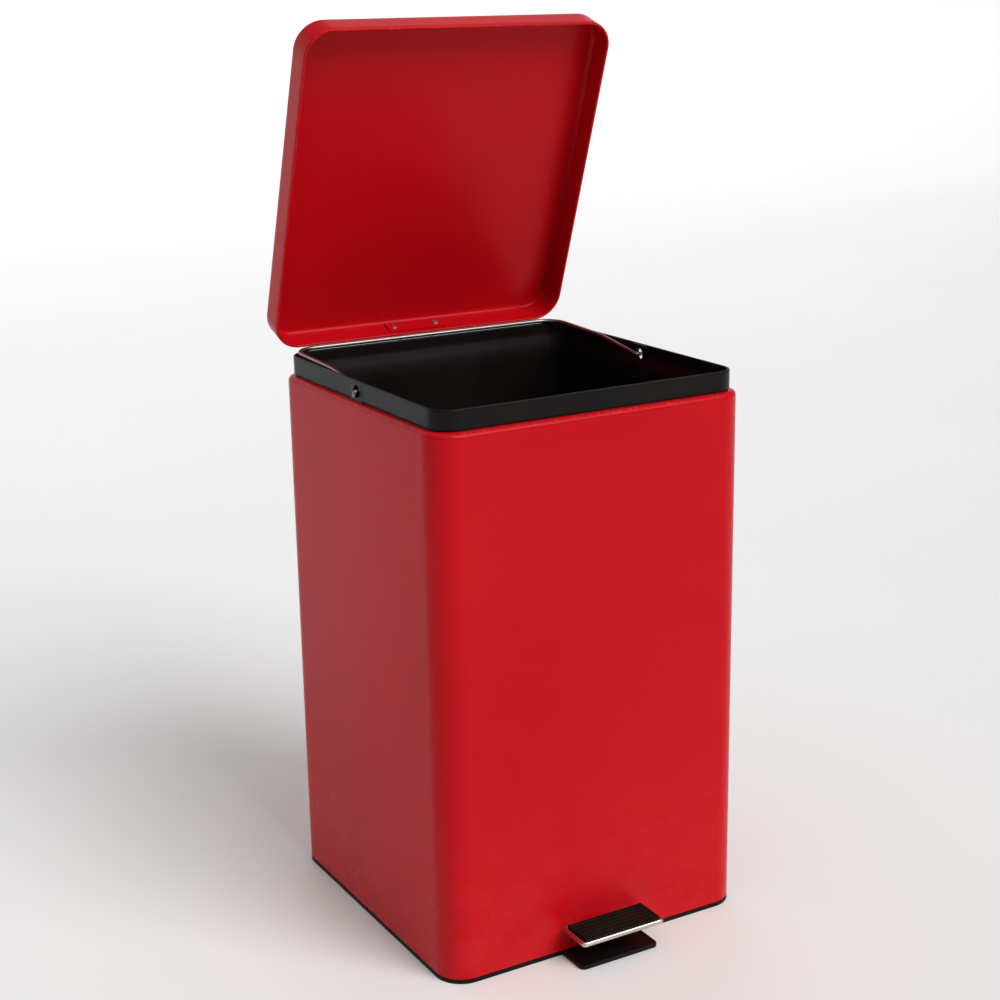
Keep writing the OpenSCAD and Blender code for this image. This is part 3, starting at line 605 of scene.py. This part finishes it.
def enamel(colour):
    """Baked enamel on sheet steel: orange peel, slow waves in the sheet, uneven gloss, a pale patchy tint low down
    that is partly dirt and partly a painted reflection of the floor, and rubbed spots along folds that are partly
    wear and partly a painted highlight on the rolled edges."""
    f = Finish("Red enamel", colour, 0.3)
    slow = f.noise(5, 2)
    cloud = f.noise(38, 4, 0.6)
    peel = f.noise(900, 2, 0.5)
    speck = f.noise(260, 5, 0.7)
    deep = [c * 0.86 for c in colour]
    warm = [min(1, c * 1.12 + 0.004) for c in colour]
    base = f.tint(slow, deep, warm)
    # Painted reflection of the floor, partly dirt: a pale tint that grows towards the bottom of the body, in
    # patches.
    dust_and_floor_reflection = f.maths("MULTIPLY", f.level(f.height(), 0.16, 0.0), f.level(cloud, 0.35, 0.75))
    with_dust_and_reflection = f.tint(f.maths("MULTIPLY", dust_and_floor_reflection, 0.028), base, (0.55, 0.42, 0.38))
    # Rubbed spots on the folds, partly wear and partly a painted highlight: a paler red where the rolled edges
    # catch the light.
    wear_and_edge_highlight = f.level(f.maths("MULTIPLY", f.attribute("fold"), f.level(speck, 0.45, 0.62)), 0.55, 0.95)
    colour_out = f.tint(f.maths("MULTIPLY", wear_and_edge_highlight, 0.35), with_dust_and_reflection, (0.50, 0.10, 0.08))
    gloss = f.maths("ADD", f.level(slow, 0, 1, 0.22, 0.30), f.maths("MULTIPLY", dust_and_floor_reflection, 0.05))
    f.bumps((slow, 0.04, 0.004), (peel, 0.08, 0.00005))
    return f.done(colour_out, gloss, Specular_IOR_Level=0.1)


def moulded(name, colour, rough, grain, shine):
    """Moulded plastic: fine spark grain, faint flow marks, pale scuffs and uneven gloss."""
    f = Finish(name, colour, rough)
    flow = f.noise(16, 3, 0.5, f.stretched((1, 1, 0.25)))
    fine = f.noise(grain, 2, 0.6)
    scuff = f.level(f.noise(60, 6, 0.75, f.stretched((1, 1, 6))), 0.62, 0.74)
    pale = [min(1, c * 1.8 + 0.012) for c in colour]
    base = f.tint(f.level(flow, 0.3, 0.7), [c * 0.8 for c in colour], [c * 1.25 for c in colour])
    out = f.tint(f.maths("MULTIPLY", scuff, 0.5), base, pale)
    gloss = f.maths("ADD", f.level(flow, 0.3, 0.7, rough - 0.04, rough + 0.05),
                    f.maths("MULTIPLY", scuff, 0.15))
    f.bumps((flow, 0.15, 0.0006), (fine, 0.12, 0.00012))
    return f.done(out, gloss, Specular_IOR_Level=shine)


def rubber(name, colour):
    """Moulded rubber: matt, dusty in its low spots, with a fine grain."""
    f = Finish(name, colour, 0.72)
    grit = f.noise(420, 5, 0.7)
    cloud = f.noise(55, 3)
    # Here the pale patches are only the rubber's own dirt, with no painted light.
    dust_and_floor_reflection = f.maths("MULTIPLY", f.level(cloud, 0.45, 0.75), f.level(grit, 0.4, 0.6))
    dusty = [c * 1.8 + 0.006 for c in colour]
    out = f.tint(f.maths("MULTIPLY", dust_and_floor_reflection, 0.5), [c * 0.8 for c in colour], dusty)
    f.bumps((grit, 0.35, 0.00018), (cloud, 0.1, 0.0004))
    return f.done(out, f.level(grit, 0.3, 0.7, 0.58, 0.82), Specular_IOR_Level=0.14)


def plated(name, colour, rough, along, mark):
    """Bright plating: fine drawing marks along one axis, faint smudges and small pits."""
    f = Finish(name, colour, rough, 1.0)
    stretch = [60.0 if k != along else 3.0 for k in range(3)]
    lines = f.noise(12, 3, 0.6, f.stretched(stretch))
    smudge = f.noise(45, 4, 0.6)
    pits = f.level(f.cells(700), 0.0, 0.12)
    out = f.tint(f.level(smudge, 0.35, 0.7), [c * 0.86 for c in colour], colour)
    gloss = f.level(smudge, 0.3, 0.75, rough, rough + 0.12)
    f.bumps((lines, mark, 0.00006), (pits, 0.05, 0.00005))
    return f.done(out, gloss)


def zinc(name, colour):
    """Zinc plated steel: satin, with mottled crystals, handling stains and rolled grain."""
    f = Finish(name, colour, 0.38, 1.0)
    spangle = f.cells(160)
    stain = f.noise(30, 5, 0.65)
    grain = f.noise(40, 3, 0.5, f.stretched((1, 12, 12)))
    base = f.tint(f.level(spangle, 0.1, 0.8), [c * 0.8 for c in colour], colour)
    out = f.tint(f.maths("MULTIPLY", f.level(stain, 0.5, 0.75), 0.6), base, (0.36, 0.33, 0.27))
    gloss = f.level(stain, 0.3, 0.75, 0.28, 0.55)
    f.bumps((spangle, 0.10, 0.0001), (grain, 0.10, 0.00008))
    return f.done(out, gloss)


def black_paint(name, colour):
    """Thick black paint on strip steel, uneven and chipped to bare metal in small spots."""
    f = Finish(name, colour, 0.45)
    cloud = f.noise(70, 5, 0.6)
    chip = f.level(f.noise(240, 6, 0.8), 0.70, 0.74)
    coat = f.tint(cloud, [c * 0.7 for c in colour], [c * 1.6 for c in colour])
    out = f.tint(chip, coat, (0.25, 0.24, 0.23))
    f.bumps((cloud, 0.25, 0.0004), (chip, 0.2, 0.0001))
    return f.done(out, f.level(cloud, 0.3, 0.7, 0.35, 0.6))


FINISHES = {
    "red_enamel": lambda s: enamel(tuple(s.can_sheet.colour)),
    "liner_plastic": lambda s: moulded("Liner plastic", tuple(s.can_liner.colour), 0.32, 1100, 0.13),
    "base_plastic": lambda s: moulded("Base plastic", tuple(s.can_liner.base_colour), 0.48, 700, 0.12),
    "rubber": lambda s: rubber("Tread rubber", (0.007, 0.0035, 0.002)),
    "bright_wire": lambda s: plated("Bright wire", (0.34, 0.31, 0.29), 0.3, 1, 0.08),
    "chrome_plate": lambda s: plated("Chrome plate", (0.64, 0.60, 0.56), 0.15, 0, 0.05),
    "zinc_steel": lambda s: zinc("Zinc plate", (0.66, 0.66, 0.64)),
    "black_steel": lambda s: black_paint("Black paint", (0.02, 0.02, 0.021)),
}
MADE = {}


def dress(piece, slot):
    """Gives a piece its slot's finish all over, made on first use from the scene's settings."""
    if slot not in MADE:
        MADE[slot] = FINISHES[slot](bpy.context.scene)
    piece.data.materials.clear()
    piece.data.materials.append(MADE[slot])


def settle(piece, body, slot, *nodes):
    """Finishes a new piece and puts it on its body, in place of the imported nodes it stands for."""
    dress(piece, slot)
    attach(piece, body)
    if nodes:
        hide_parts(*nodes)


def closeness(values, to, within):
    """How close values are to a value, from 1 at it down to 0 at a distance of within."""
    return np.clip(1 - np.abs(values - to) / within, 0, 1)


def mark_folds(piece, share):
    """Stores how strongly each point lies on a fold, from 0 to 1, for wear and a painted edge highlight."""
    values = piece.data.attributes.new("fold", "FLOAT", "POINT")
    values.data.foreach_set("value", np.asarray(share, np.float32).ravel())


# ---- Operators ----


class CAN_OT_stage(bpy.types.Operator):
    """Sets the camera, the pale floor and the soft lights"""

    bl_idname = "can.stage"
    bl_label = "Stage"

    def execute(self, context):
        s = context.scene.can_stage
        lens = bpy.data.cameras.new("Camera")
        lens.sensor_width, lens.lens = 36, s.lens
        lens.clip_start, lens.clip_end = 0.05, 50
        camera = bpy.data.objects.new("Camera", lens)
        context.scene.collection.objects.link(camera)
        context.scene.camera = camera
        ahead = Vector((math.sin(s.azimuth) * math.cos(s.pitch),
                        math.cos(s.azimuth) * math.cos(s.pitch), -math.sin(s.pitch)))
        right = ahead.cross(Vector((0, 0, 1))).normalized()
        up = right.cross(ahead)
        c, w = math.cos(s.roll), math.sin(s.roll)
        across, upright = c * right + w * up, c * up - w * right
        turn = Matrix((across, upright, -ahead)).transposed().to_4x4()
        camera.matrix_world = Matrix.Translation(Vector(s.place)) @ turn
        self.floor()
        self.lights(context, s)
        context.scene.view_settings.view_transform = "Standard"
        return {"FINISHED"}

    def floor(self):
        """A pale floor that curves up into a backdrop: flat, then a quarter circle, then upright."""
        reach, bend, depth, rise = 6.0, 1.5, 4.0, 4.0
        turn = np.linspace(0, math.pi / 2, 17)
        y = np.concatenate([[-reach], depth + bend * np.sin(turn), [depth + bend]])
        z = np.concatenate([[0], bend - bend * np.cos(turn), [bend + rise]])
        x = np.array([-reach, reach])
        grid = np.stack(np.broadcast_arrays(x[None], y[:, None], z[:, None]), -1)
        n = np.arange(len(y) - 1) * 2
        faces = np.stack([n, n + 1, n + 3, n + 2], 1)
        floor = new_piece("floor", grid.reshape(-1, 3), [faces])
        f = Finish("Pale floor", (0.86, 0.86, 0.86), 0.6)
        cloud = f.noise(1.5, 3)
        f.done(f.tint(cloud, (0.84, 0.84, 0.84), (0.88, 0.88, 0.88)))
        floor.data.materials.append(f.material)

    def lights(self, context, s):
        """A soft key high at the front right, a broad one overhead, and a pale sky."""
        for name, place, spread, strength in (
                ("Key", (0.55, -1.5, 1.35), 40, s.key), ("Top", (-0.1, -0.2, 1), 90, s.top)):
            data = bpy.data.lights.new(name, "SUN")
            data.angle, data.energy = math.radians(spread), strength
            lamp = bpy.data.objects.new(name, data)
            context.scene.collection.objects.link(lamp)
            aim = (-Vector(place)).to_track_quat("-Z", "Y")
            lamp.matrix_world = Matrix.Translation(Vector(place) * 2) @ aim.to_matrix().to_4x4()
        world = bpy.data.worlds.new("Pale room")
        context.scene.world = world
        world.use_nodes = True
        nodes, links = world.node_tree.nodes, world.node_tree.links
        rays, both = nodes.new("ShaderNodeLightPath"), nodes.new("ShaderNodeMixShader")
        links.new(rays.outputs["Is Camera Ray"], both.inputs["Fac"])
        shaders = nodes["Background"], nodes.new("ShaderNodeBackground")
        for k, (shader, strength) in enumerate(zip(shaders, (s.sky, s.wall)), 1):
            shader.inputs["Color"].default_value = (1, 1, 1, 1)
            shader.inputs["Strength"].default_value = strength
            links.new(shader.outputs["Background"], both.inputs[k])
        links.new(both.outputs["Shader"], nodes["World Output"].inputs["Surface"])


class CAN_OT_shell(bpy.types.Operator):
    """Builds the enamelled body: walls, rolled shoulder, mouth flange and foot flange"""

    bl_idname = "can.shell"
    bl_label = "Body shell"

    def execute(self, context):
        s = context.scene.can_sheet
        loop = rounded_loop(HALF_X, HALF_Y, s.corner, BODY_ARC, BODY_SIDE)
        t, r, z0, z1 = s.gauge, s.shoulder, SHELL_LOW.z, SHOULDER_Z
        roll = 1.2 * MM
        wall = stations(z0 + roll, z1 - r, 12 * MM)
        outer = chain(
            [[s.foot, z0]],
            arc(roll, z0 + roll, roll, 3, 2, 5),
            np.stack([np.zeros(len(wall)), wall], 1),
            arc(r, z1 - r, r, 2, 1, 10),
            [[s.flange - roll, z1]],
            arc(s.flange - roll, z1 - roll, roll, 1, 0, 4),
            [[s.flange, z1 - s.curl]])
        inner = chain(
            [[s.flange - t, z1 - s.curl], [s.flange - t, z1 - roll]],
            arc(s.flange - roll, z1 - roll, roll - t, 0, 1, 4),
            [[r, z1 - t]],
            arc(r, z1 - r, r - t, 1, 2, 10),
            np.stack([np.full(len(wall), t), wall[::-1]], 1),
            arc(roll, z0 + roll, roll - t, 2, 3, 5),
            [[s.foot, z0 + t]])
        rings = carried(loop, s.corner, chain(outer, inner))
        self.bow(rings, s, z0, z1)
        shell = keep_closed(ring_piece("body_shell", rings, closed=True, sharp=50))
        height = rings[..., 2]
        # The fold share sets where the enamel's wear and painted edge highlight go: the shoulder's crest and the
        # foot.
        rolled = closeness(height, z1 - CREST * r, 0.9 * r)
        mark_folds(shell, np.maximum(rolled, closeness(height, z0, 2 * MM)))
        cut(shell, self.windows())
        shade(shell, 50)
        settle(shell, "can", "red_enamel", "outer_shell")
        return {"FINISHED"}

    def bow(self, rings, s, z0, z1):
        """Bows the front and sides out by (1 - u^2)^2 times sin(pi h), where u runs across the
        panel and h up it. The back stays flat, because the brackets lie on it."""
        h = np.sin(math.pi * np.clip((rings[..., 2] - z0) / (z1 - z0), 0, 1))
        halves = (HALF_X, HALF_Y)
        for axis, signs in ((0, (-1, 1)), (1, (-1,))):
            half, wide = halves[axis], halves[1 - axis]
            here, across = rings[..., axis].copy(), rings[..., 1 - axis] / wide
            for sign in signs:
                on = sign * here > half - s.corner * 0.3
                swell = s.bow * np.maximum(1 - across**2, 0) ** 2 * h
                rings[..., axis] = np.where(on, rings[..., axis] + sign * swell, rings[..., axis])

    def windows(self):
        """Cutters for the lever's front and back windows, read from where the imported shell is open
        in the middle of its front and back walls."""
        points = mesh_points(frame["nodes"]["outer_shell"].data)
        middle = np.abs(points[:, 0]) < 30 * MM
        above_foot = (points[:, 2] > SHELL_LOW.z + 2 * MM) & (points[:, 2] < 60 * MM)
        through, made = 6 * MM, []
        for name, sign in (("front", -1), ("back", 1)):
            rim = points[middle & above_foot & (sign * points[:, 1] > HALF_Y - 0.2 * MM)]
            if not len(rim):
                raise RuntimeError(f"the packed shell has no {name} window")
            x, y = np.abs(rim[:, 0]).max(), sign * HALF_Y
            z0, z1 = rim[:, 2].min(), rim[:, 2].max()
            made.append(block(f"{name}_window", (-x, y - through, z0), (x, y + through, z1)))
        return made


class CAN_OT_lid(bpy.types.Operator):
    """Builds the pressed lid with its skirt, rolled edge and folded hem"""

    bl_idname = "can.lid"
    bl_label = "Lid"

    def execute(self, context):
        s = context.scene.can_sheet
        hx, hy = (LID_HIGH[0] - LID_LOW[0]) / 2, (LID_HIGH[1] - LID_LOW[1]) / 2
        corner = s.corner + hx - HALF_X
        z0, z1, t, r = LID_LOW[2], LID_HIGH[2], s.gauge, s.lid_edge
        loop = rounded_loop(hx, hy, corner, BODY_ARC, BODY_SIDE)
        bead = s.bead
        skirt = stations(z0 + bead, z1 - r, 5 * MM)
        outer = chain(
            arc(bead, z0 + bead, bead, 3, 2, 5),
            np.stack([np.zeros(len(skirt)), skirt], 1),
            arc(r, z1 - r, r, 2, 1, 12),
            [[1.4 * r, z1], [0.6 * corner, z1]])
        inner = chain(
            [[0.6 * corner, z1 - t], [1.4 * r, z1 - t]],
            arc(r, z1 - r, r - t, 1, 2, 12),
            np.stack([np.full(len(skirt), t), skirt[::-1]], 1)[:-1],
            [[t, z0 + s.hem + 0.2 * MM]],
            arc(1.5 * t, z0 + s.hem, t / 2, 1, 0, 4),
            arc(bead, z0 + bead, bead, 0.35, -1, 8)[:-1])
        top = carried(loop, corner, outer)
        under = carried(loop, corner, inner)
        self.gather(under, loop, s, z1 - r)
        rings = np.concatenate([top, shrunk(top[-1], 16)])
        below = shrunk(under[0], 16)[::-1]
        pole_top, pole_low = np.array([0, 0, z1]), np.array([0, 0, z1 - t])
        self.crown(rings, pole_top, s, z1, hx, hy)
        inside = np.concatenate([below, under])
        self.crown(inside, pole_low, s, z1 - t, hx, hy)
        lid = self.join(rings, inside, pole_top, pole_low)
        # The fold share sets where the enamel's wear and painted edge highlight go: the rolled top edge and the
        # free edge's bead.
        edge = closeness(outer[:, 1], z1 - CREST * r, 0.8 * r)
        share = np.zeros((len(rings) + len(inside), rings.shape[1]))
        share[:len(outer)] = np.where(outer[:, 0] < r, edge, 0)[:, None]
        heights = np.concatenate([rings, inside])[..., 2]
        share = np.maximum(share, closeness(heights, z0, 1.5 * MM))
        mark_folds(lid, np.append(share, [0, 0]))
        lid.data.vertices.foreach_set("co", turned(mesh_points(lid.data), HINGE, -LID_OPEN).ravel())
        lid.data.update()
        settle(lid, "lid", "red_enamel", "lid_pan")
        return {"FINISHED"}

    def gather(self, rings, loop, s, level):
        """Puckers in the corners' fillets: the sheet moves in by the gather's depth times
        sin^2(6 a), where a is the angle round the corner, and less away from the fillet."""
        outs = loop[1]
        angle = np.arctan2(np.abs(outs[:, 1]), np.abs(outs[:, 0]))
        wave = np.sin(6 * angle) ** 2 * np.sin(2 * angle)
        near = np.exp(-(((rings[..., 2] - level) / (3 * MM)) ** 2))
        rings[..., :2] -= outs[None] * (s.gather * near * wave[None])[..., None]

    def crown(self, rings, pole, s, level, hx, hy):
        """Raises the panel by the crown times (1 - x^2)(1 - y^2) where it lies at its own level."""
        on = np.abs(rings[..., 2] - level) < 1e-6
        across, along = np.maximum(1 - (rings[..., :2] / (hx, hy)) ** 2, 0).transpose(2, 0, 1)
        rings[..., 2] += np.where(on, s.lid_crown * across * along, 0)
        pole[2] += s.lid_crown

    def join(self, outer, inner, pole_top, pole_low):
        """Closes the outer and inner rings: they meet at the hem, and each ends in a pole."""
        count = outer.shape[1]
        a, b = len(outer), len(inner)
        points = np.concatenate([outer.reshape(-1, 3), inner.reshape(-1, 3), [pole_top, pole_low]])
        second = a * count
        faces = [strip_faces(a, count, False), strip_faces(b, count, False) + second,
                 fan_faces((a - 1) * count, len(points) - 2, count, False),
                 fan_faces(second, len(points) - 1, count, True)]
        j = np.arange(count)
        last = second + (b - 1) * count
        faces.append(np.stack([last + j, last + (j + 1) % count, (j + 1) % count, j], 1))
        return keep_closed(new_piece("lid_pressing", points, faces, sharp=50))


class CAN_OT_liner(bpy.types.Operator):
    """Builds the black liner: rim band, neck, tapered walls, floor and bail bosses"""

    bl_idname = "can.liner"
    bl_label = "Liner"

    def execute(self, context):
        s, sheet = context.scene.can_liner, context.scene.can_sheet
        r, t = sheet.corner, s.wall
        band = HALF_X - LINER_HIGH.x
        neck, z_neck = band + 1 * MM, SHOULDER_Z
        wall = sheet.flange + 0.6 * MM
        top, floor = LINER_HIGH.z, LINER_LOW.z
        lip, bend, heel, soft = t / 2, 5 * MM, 6 * MM, 0.5 * MM
        z_band = z_neck + s.band_gap
        z_wall = floor + heel + stations(0, 1, 0.04) * (z_neck - floor - heel)
        in_wall = wall + s.draft * (z_neck - z_wall) / (z_neck - floor)
        outer = chain(
            [[in_wall[0] + bend, floor]],
            np.stack([in_wall, z_wall], 1),
            [[neck, z_neck], [neck, z_band]],
            arc(band + soft, z_band + soft, soft, 3, 2, 3),
            np.stack([np.full(5, band), np.linspace(z_band + 2 * MM, top - lip, 5)], 1),
            arc(band + lip, top - lip, lip, 2, 0, 12),
            np.stack([np.full(4, band + t), np.linspace(top - lip, z_neck + 6 * MM, 4)], 1),
            [[wall + t, z_neck]],
            np.stack([in_wall + t, z_wall], 1)[::-1],
            [[in_wall[0] + t + bend * 0.3, floor + t + bend * 0.3], [in_wall[0] + t + bend, floor + t]])
        loop = rounded_loop(HALF_X, HALF_Y, r, 16, 30)
        rings = carried(loop, r, outer)
        self.ripple(rings, z_neck, floor)
        below, above = shrunk(rings[0], 10)[::-1], shrunk(rings[-1], 10)
        rings = np.concatenate([below, rings, above])
        poles = ((0, 0, floor), (0, 0, floor + t))
        liner = keep_closed(ring_piece("liner_bucket_moulding", rings, poles=poles, sharp=40))
        cut(liner, [peg("hole", (sign * (HALF_X - band), 0, BAIL_PIVOT_Z), s.hole / 2, 20 * MM, 0)
                    for sign in (-1, 1)])
        shade(liner, 40)
        settle(liner, "can", "liner_plastic", "liner_bucket")
        for name, sign in (("left", -1), ("right", 1)):
            boss = self.boss(f"liner_boss_{name}", sign, band, top, s, context.scene.can_wire)
            settle(boss, "can", "liner_plastic")
        return {"FINISHED"}

    def ripple(self, rings, z_neck, floor):
        """Gives the walls the faint waves of a large moulding: a sum of two slow sines."""
        z = rings[..., 2]
        deep = np.clip((z_neck - z) / 0.05, 0, 1) * np.clip((z - floor) / 0.02, 0, 1)
        wave = 0.25 * MM * (np.sin(z * 31 + rings[..., 0] * 9) + np.sin(z * 17 - rings[..., 1] * 13))
        for axis in (0, 1):
            here = rings[..., axis]
            other = np.abs(rings[..., 1 - axis])
            on = np.abs(here) > other
            rings[..., axis] = np.where(on, here - np.sign(here) * (np.abs(wave) * deep), here)

    def boss(self, name, sign, band, top, s, wire):
        """A pad with soft edges that thickens the rim round a bail hole: a rounded outline in the
        YZ plane, carried across X with its edges rolled by arcs, and a hole through its middle."""
        outside, inside = HALF_X - band + 0.1 * MM, HALF_X - wire.inset + wire.diameter / 2 + 0.3 * MM
        soft, corner, half_y, half_z = 0.7 * MM, 2.5 * MM, s.boss / 2, s.boss_depth / 2
        loop = rounded_loop(half_y, half_z, corner, 6, 8)
        profile = chain(
            arc(soft, inside + soft, soft, 3, 2, 4),
            arc(soft, outside - soft, soft, 2, 1, 4))
        flat = carried(loop, corner, profile)
        flat = np.concatenate([shrunk(flat[0], 4)[::-1], flat, shrunk(flat[-1], 4)])
        middle = top - 0.6 * MM - half_z
        rings = np.stack([sign * flat[..., 2], flat[..., 0], middle + flat[..., 1]], -1)
        poles = tuple((sign * x, 0, middle) for x in (inside, outside))
        pad = keep_closed(ring_piece(name, rings, poles=poles, sharp=40))
        cut(pad, [peg("bore", (sign * HALF_X, 0, BAIL_PIVOT_Z), s.hole / 2, 20 * MM, 0)])
        shade(pad, 40)
        return pad


class CAN_OT_bail(bpy.types.Operator):
    """Builds the wire bail, hooked in the liner's holes and folded back on its rim"""

    bl_idname = "can.bail"
    bl_label = "Bail"

    def execute(self, context):
        s = context.scene.can_wire
        r = s.diameter / 2
        x, hook = HALF_X - s.inset, BAIL_HIGH.x - r
        back_y, back_z = BAIL_HIGH.y - r, BAIL_HIGH.z - r
        knee_z = back_z - s.rise
        half = [(hook, 0, BAIL_LOW.z + r + 0.4 * MM), (hook, 0, BAIL_PIVOT_Z), (x, 0, BAIL_PIVOT_Z),
                (x, s.knee, knee_z), (x, back_y, back_z)]
        mirror = [(-a, b, c) for a, b, c in half[::-1]]
        bends = [s.hook_bend, s.hook_bend, 6 * s.corner, s.corner]
        line = rounded_line(half + mirror, bends + bends[::-1], 6 * MM)
        bail = keep_closed(wire_piece("bail_wire", line, r, 24))
        settle(bail, "bail", "bright_wire", "bail_handle")
        return {"FINISHED"}


class CAN_OT_pedal(bpy.types.Operator):
    """Builds the plated pedal plate, its rubber tread and the anti-tip foot below it"""

    bl_idname = "can.pedal"
    bl_label = "Pedal and foot"

    def execute(self, context):
        s = context.scene.can_pedal
        self.plate(s)
        self.tread(s)
        self.foot(s)
        return {"FINISHED"}

    def plate(self, s):
        """A pressed tray: lips turned down, a rolled border, and a slightly sunk bed for the tread."""
        hx, hy = (PLATE_HIGH.x - PLATE_LOW.x) / 2, (PLATE_HIGH.y - PLATE_LOW.y) / 2
        middle = (PLATE_HIGH.y + PLATE_LOW.y) / 2
        z0, z1, t, r, c = PLATE_LOW.z, PLATE_HIGH.z, s.gauge, s.lip, s.corner
        crest = z1 + s.roll
        profile = chain(
            arc(s.under, z0 + s.under, s.under, 3, 2, 8),
            arc(r, crest - r, r, 2, 1, 8),
            arc(r, crest - r, r, 1, 0.6, 4),
            [[r + 1.2 * MM, z1], [c * 0.95, z1]])
        bend = 0.6 * MM
        inner = chain([[c * 0.95, z1 - t], [t + bend, z1 - t], [t, z1 - t - bend],
                       [t, z0 + s.under], [s.under, z0 + t]])
        loop = rounded_loop(hx, hy, c, 8, 24)
        top, low = carried(loop, c, profile), carried(loop, c, inner)
        rings = np.concatenate([shrunk(low[0], 4)[::-1], low, top, shrunk(top[-1], 4)])
        rings[..., 1] += middle
        poles = ((0, middle, z1 - t), (0, middle, z1))
        plate = keep_closed(ring_piece("pedal_plate_pressing", rings, poles=poles, sharp=50))
        settle(plate, "pedal", "chrome_plate", "pedal_plate")

    def tread(self, s):
        """A rubber pad with ribs along X: the top falls by the rib depth in each groove, by a
        raised cosine, and rounds off at its border."""
        low, high = TREAD_LOW - Vector((0, s.reach, 0)), TREAD_HIGH
        hx, hy = (high.x - low.x) / 2, (high.y - low.y) / 2
        corner, edge, plain_end = 3 * MM, 0.8 * MM, 2.5 * MM

        def top(x, y):
            wave = 0.5 + 0.5 * np.cos(TURN * s.ribs * (y + hy) / (2 * hy))
            ends = np.clip((hx - plain_end - np.abs(x)) / MM, 0, 1)
            groove = s.rib_depth * np.clip(wave * 2.2 - 1.0, 0, 1) * ends
            near = np.minimum(hx - np.abs(x), hy - np.abs(y))
            soft = np.clip(1 - near / edge, 0, 1) ** 2 * edge * 0.7
            return high.z - groove - soft

        tread = keep_closed(slab_piece("pedal_tread_pad", low, high, corner, top, 110, 60, edge))
        settle(tread, "pedal", "rubber", "pedal_tread")

    def foot(self, s):
        """The foot's showing part: a thick tongue with rounded edges and a shallow step round its
        top, and a thin tail under the body."""
        step_y = -HALF_Y - 0.9 * MM
        low, high = FOOT_LOW, FOOT_HIGH
        corner, edge, sunk = 5 * MM, s.foot_edge, high.z - 0.35 * MM
        half_x, half_y = (high.x - low.x) / 2, (step_y - low.y + corner) / 2
        centres, outs = rounded_loop(half_x, half_y, corner, 8, 12)
        centres = centres + [(low.x + high.x) / 2, (low.y + step_y + corner) / 2]
        profile = chain(
            [[2.4 * MM, 0.4 * MM], [edge, 0]],
            arc(edge, edge, edge, 3, 2, 4),
            arc(edge, high.z - edge, edge, 2, 1, 5),
            [[2.2 * MM, high.z], [2.7 * MM, sunk], [4 * MM, sunk]])
        rings = carried((centres, outs), corner, profile)
        rings[..., 1] = np.minimum(rings[..., 1], step_y)
        middle = rings[0].mean(0)
        poles = ((middle[0], middle[1], rings[0, 0, 2]), (middle[0], middle[1], rings[-1, 0, 2]))
        tongue = keep_closed(ring_piece("anti_tip_tongue", rings, poles=poles, sharp=40))
        settle(tongue, "can", "base_plastic", "anti_tip_foot")
        tail = block("anti_tip_tail", (low.x, step_y - 0.1 * MM, 0.05 * MM), (high.x, high.y, 2 * MM))
        settle(tail, "can", "base_plastic")


class CAN_OT_hardware(bpy.types.Operator):
    """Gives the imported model's own brackets, pins, rods and fasteners their finishes"""

    bl_idname = "can.hardware"
    bl_label = "Hardware finishes"

    def execute(self, context):
        slots = {p["node"]: p["material_slot"] for p in frame["record"]["subparts"]}
        for name, node in frame["nodes"].items():
            if not node.hide_render:
                dress(node, slots[name])
        return {"FINISHED"}


class CAN_PT_panel(bpy.types.Panel):
    """Lists the steps that build the can"""

    bl_idname = "CAN_PT_panel"
    bl_label = "Waste can"
    bl_space_type = "VIEW_3D"
    bl_region_type = "UI"
    bl_category = "Waste can"

    def draw(self, context):
        for step in STEPS:
            self.layout.operator(step.bl_idname)


SETTINGS = {
    "can_sheet": SheetSettings, "can_liner": LinerSettings, "can_wire": WireSettings,
    "can_pedal": PedalSettings, "can_stage": StageSettings,
}
STEPS = (
    CAN_OT_stage, CAN_OT_shell, CAN_OT_lid, CAN_OT_liner, CAN_OT_bail, CAN_OT_pedal, CAN_OT_hardware,
)


def register():
    for group in SETTINGS.values():
        bpy.utils.register_class(group)
    for name, group in SETTINGS.items():
        setattr(bpy.types.Scene, name, PointerProperty(type=group))
    for step in STEPS:
        bpy.utils.register_class(step)
    bpy.utils.register_class(CAN_PT_panel)


def unregister():
    bpy.utils.unregister_class(CAN_PT_panel)
    for step in reversed(STEPS):
        bpy.utils.unregister_class(step)
    for name, group in SETTINGS.items():
        delattr(bpy.types.Scene, name)
        bpy.utils.unregister_class(group)


def main():
    register()
    for step in STEPS:
        family, verb = step.bl_idname.split(".")
        getattr(getattr(bpy.ops, family), verb)()


if __name__ == "__main__":
    main()
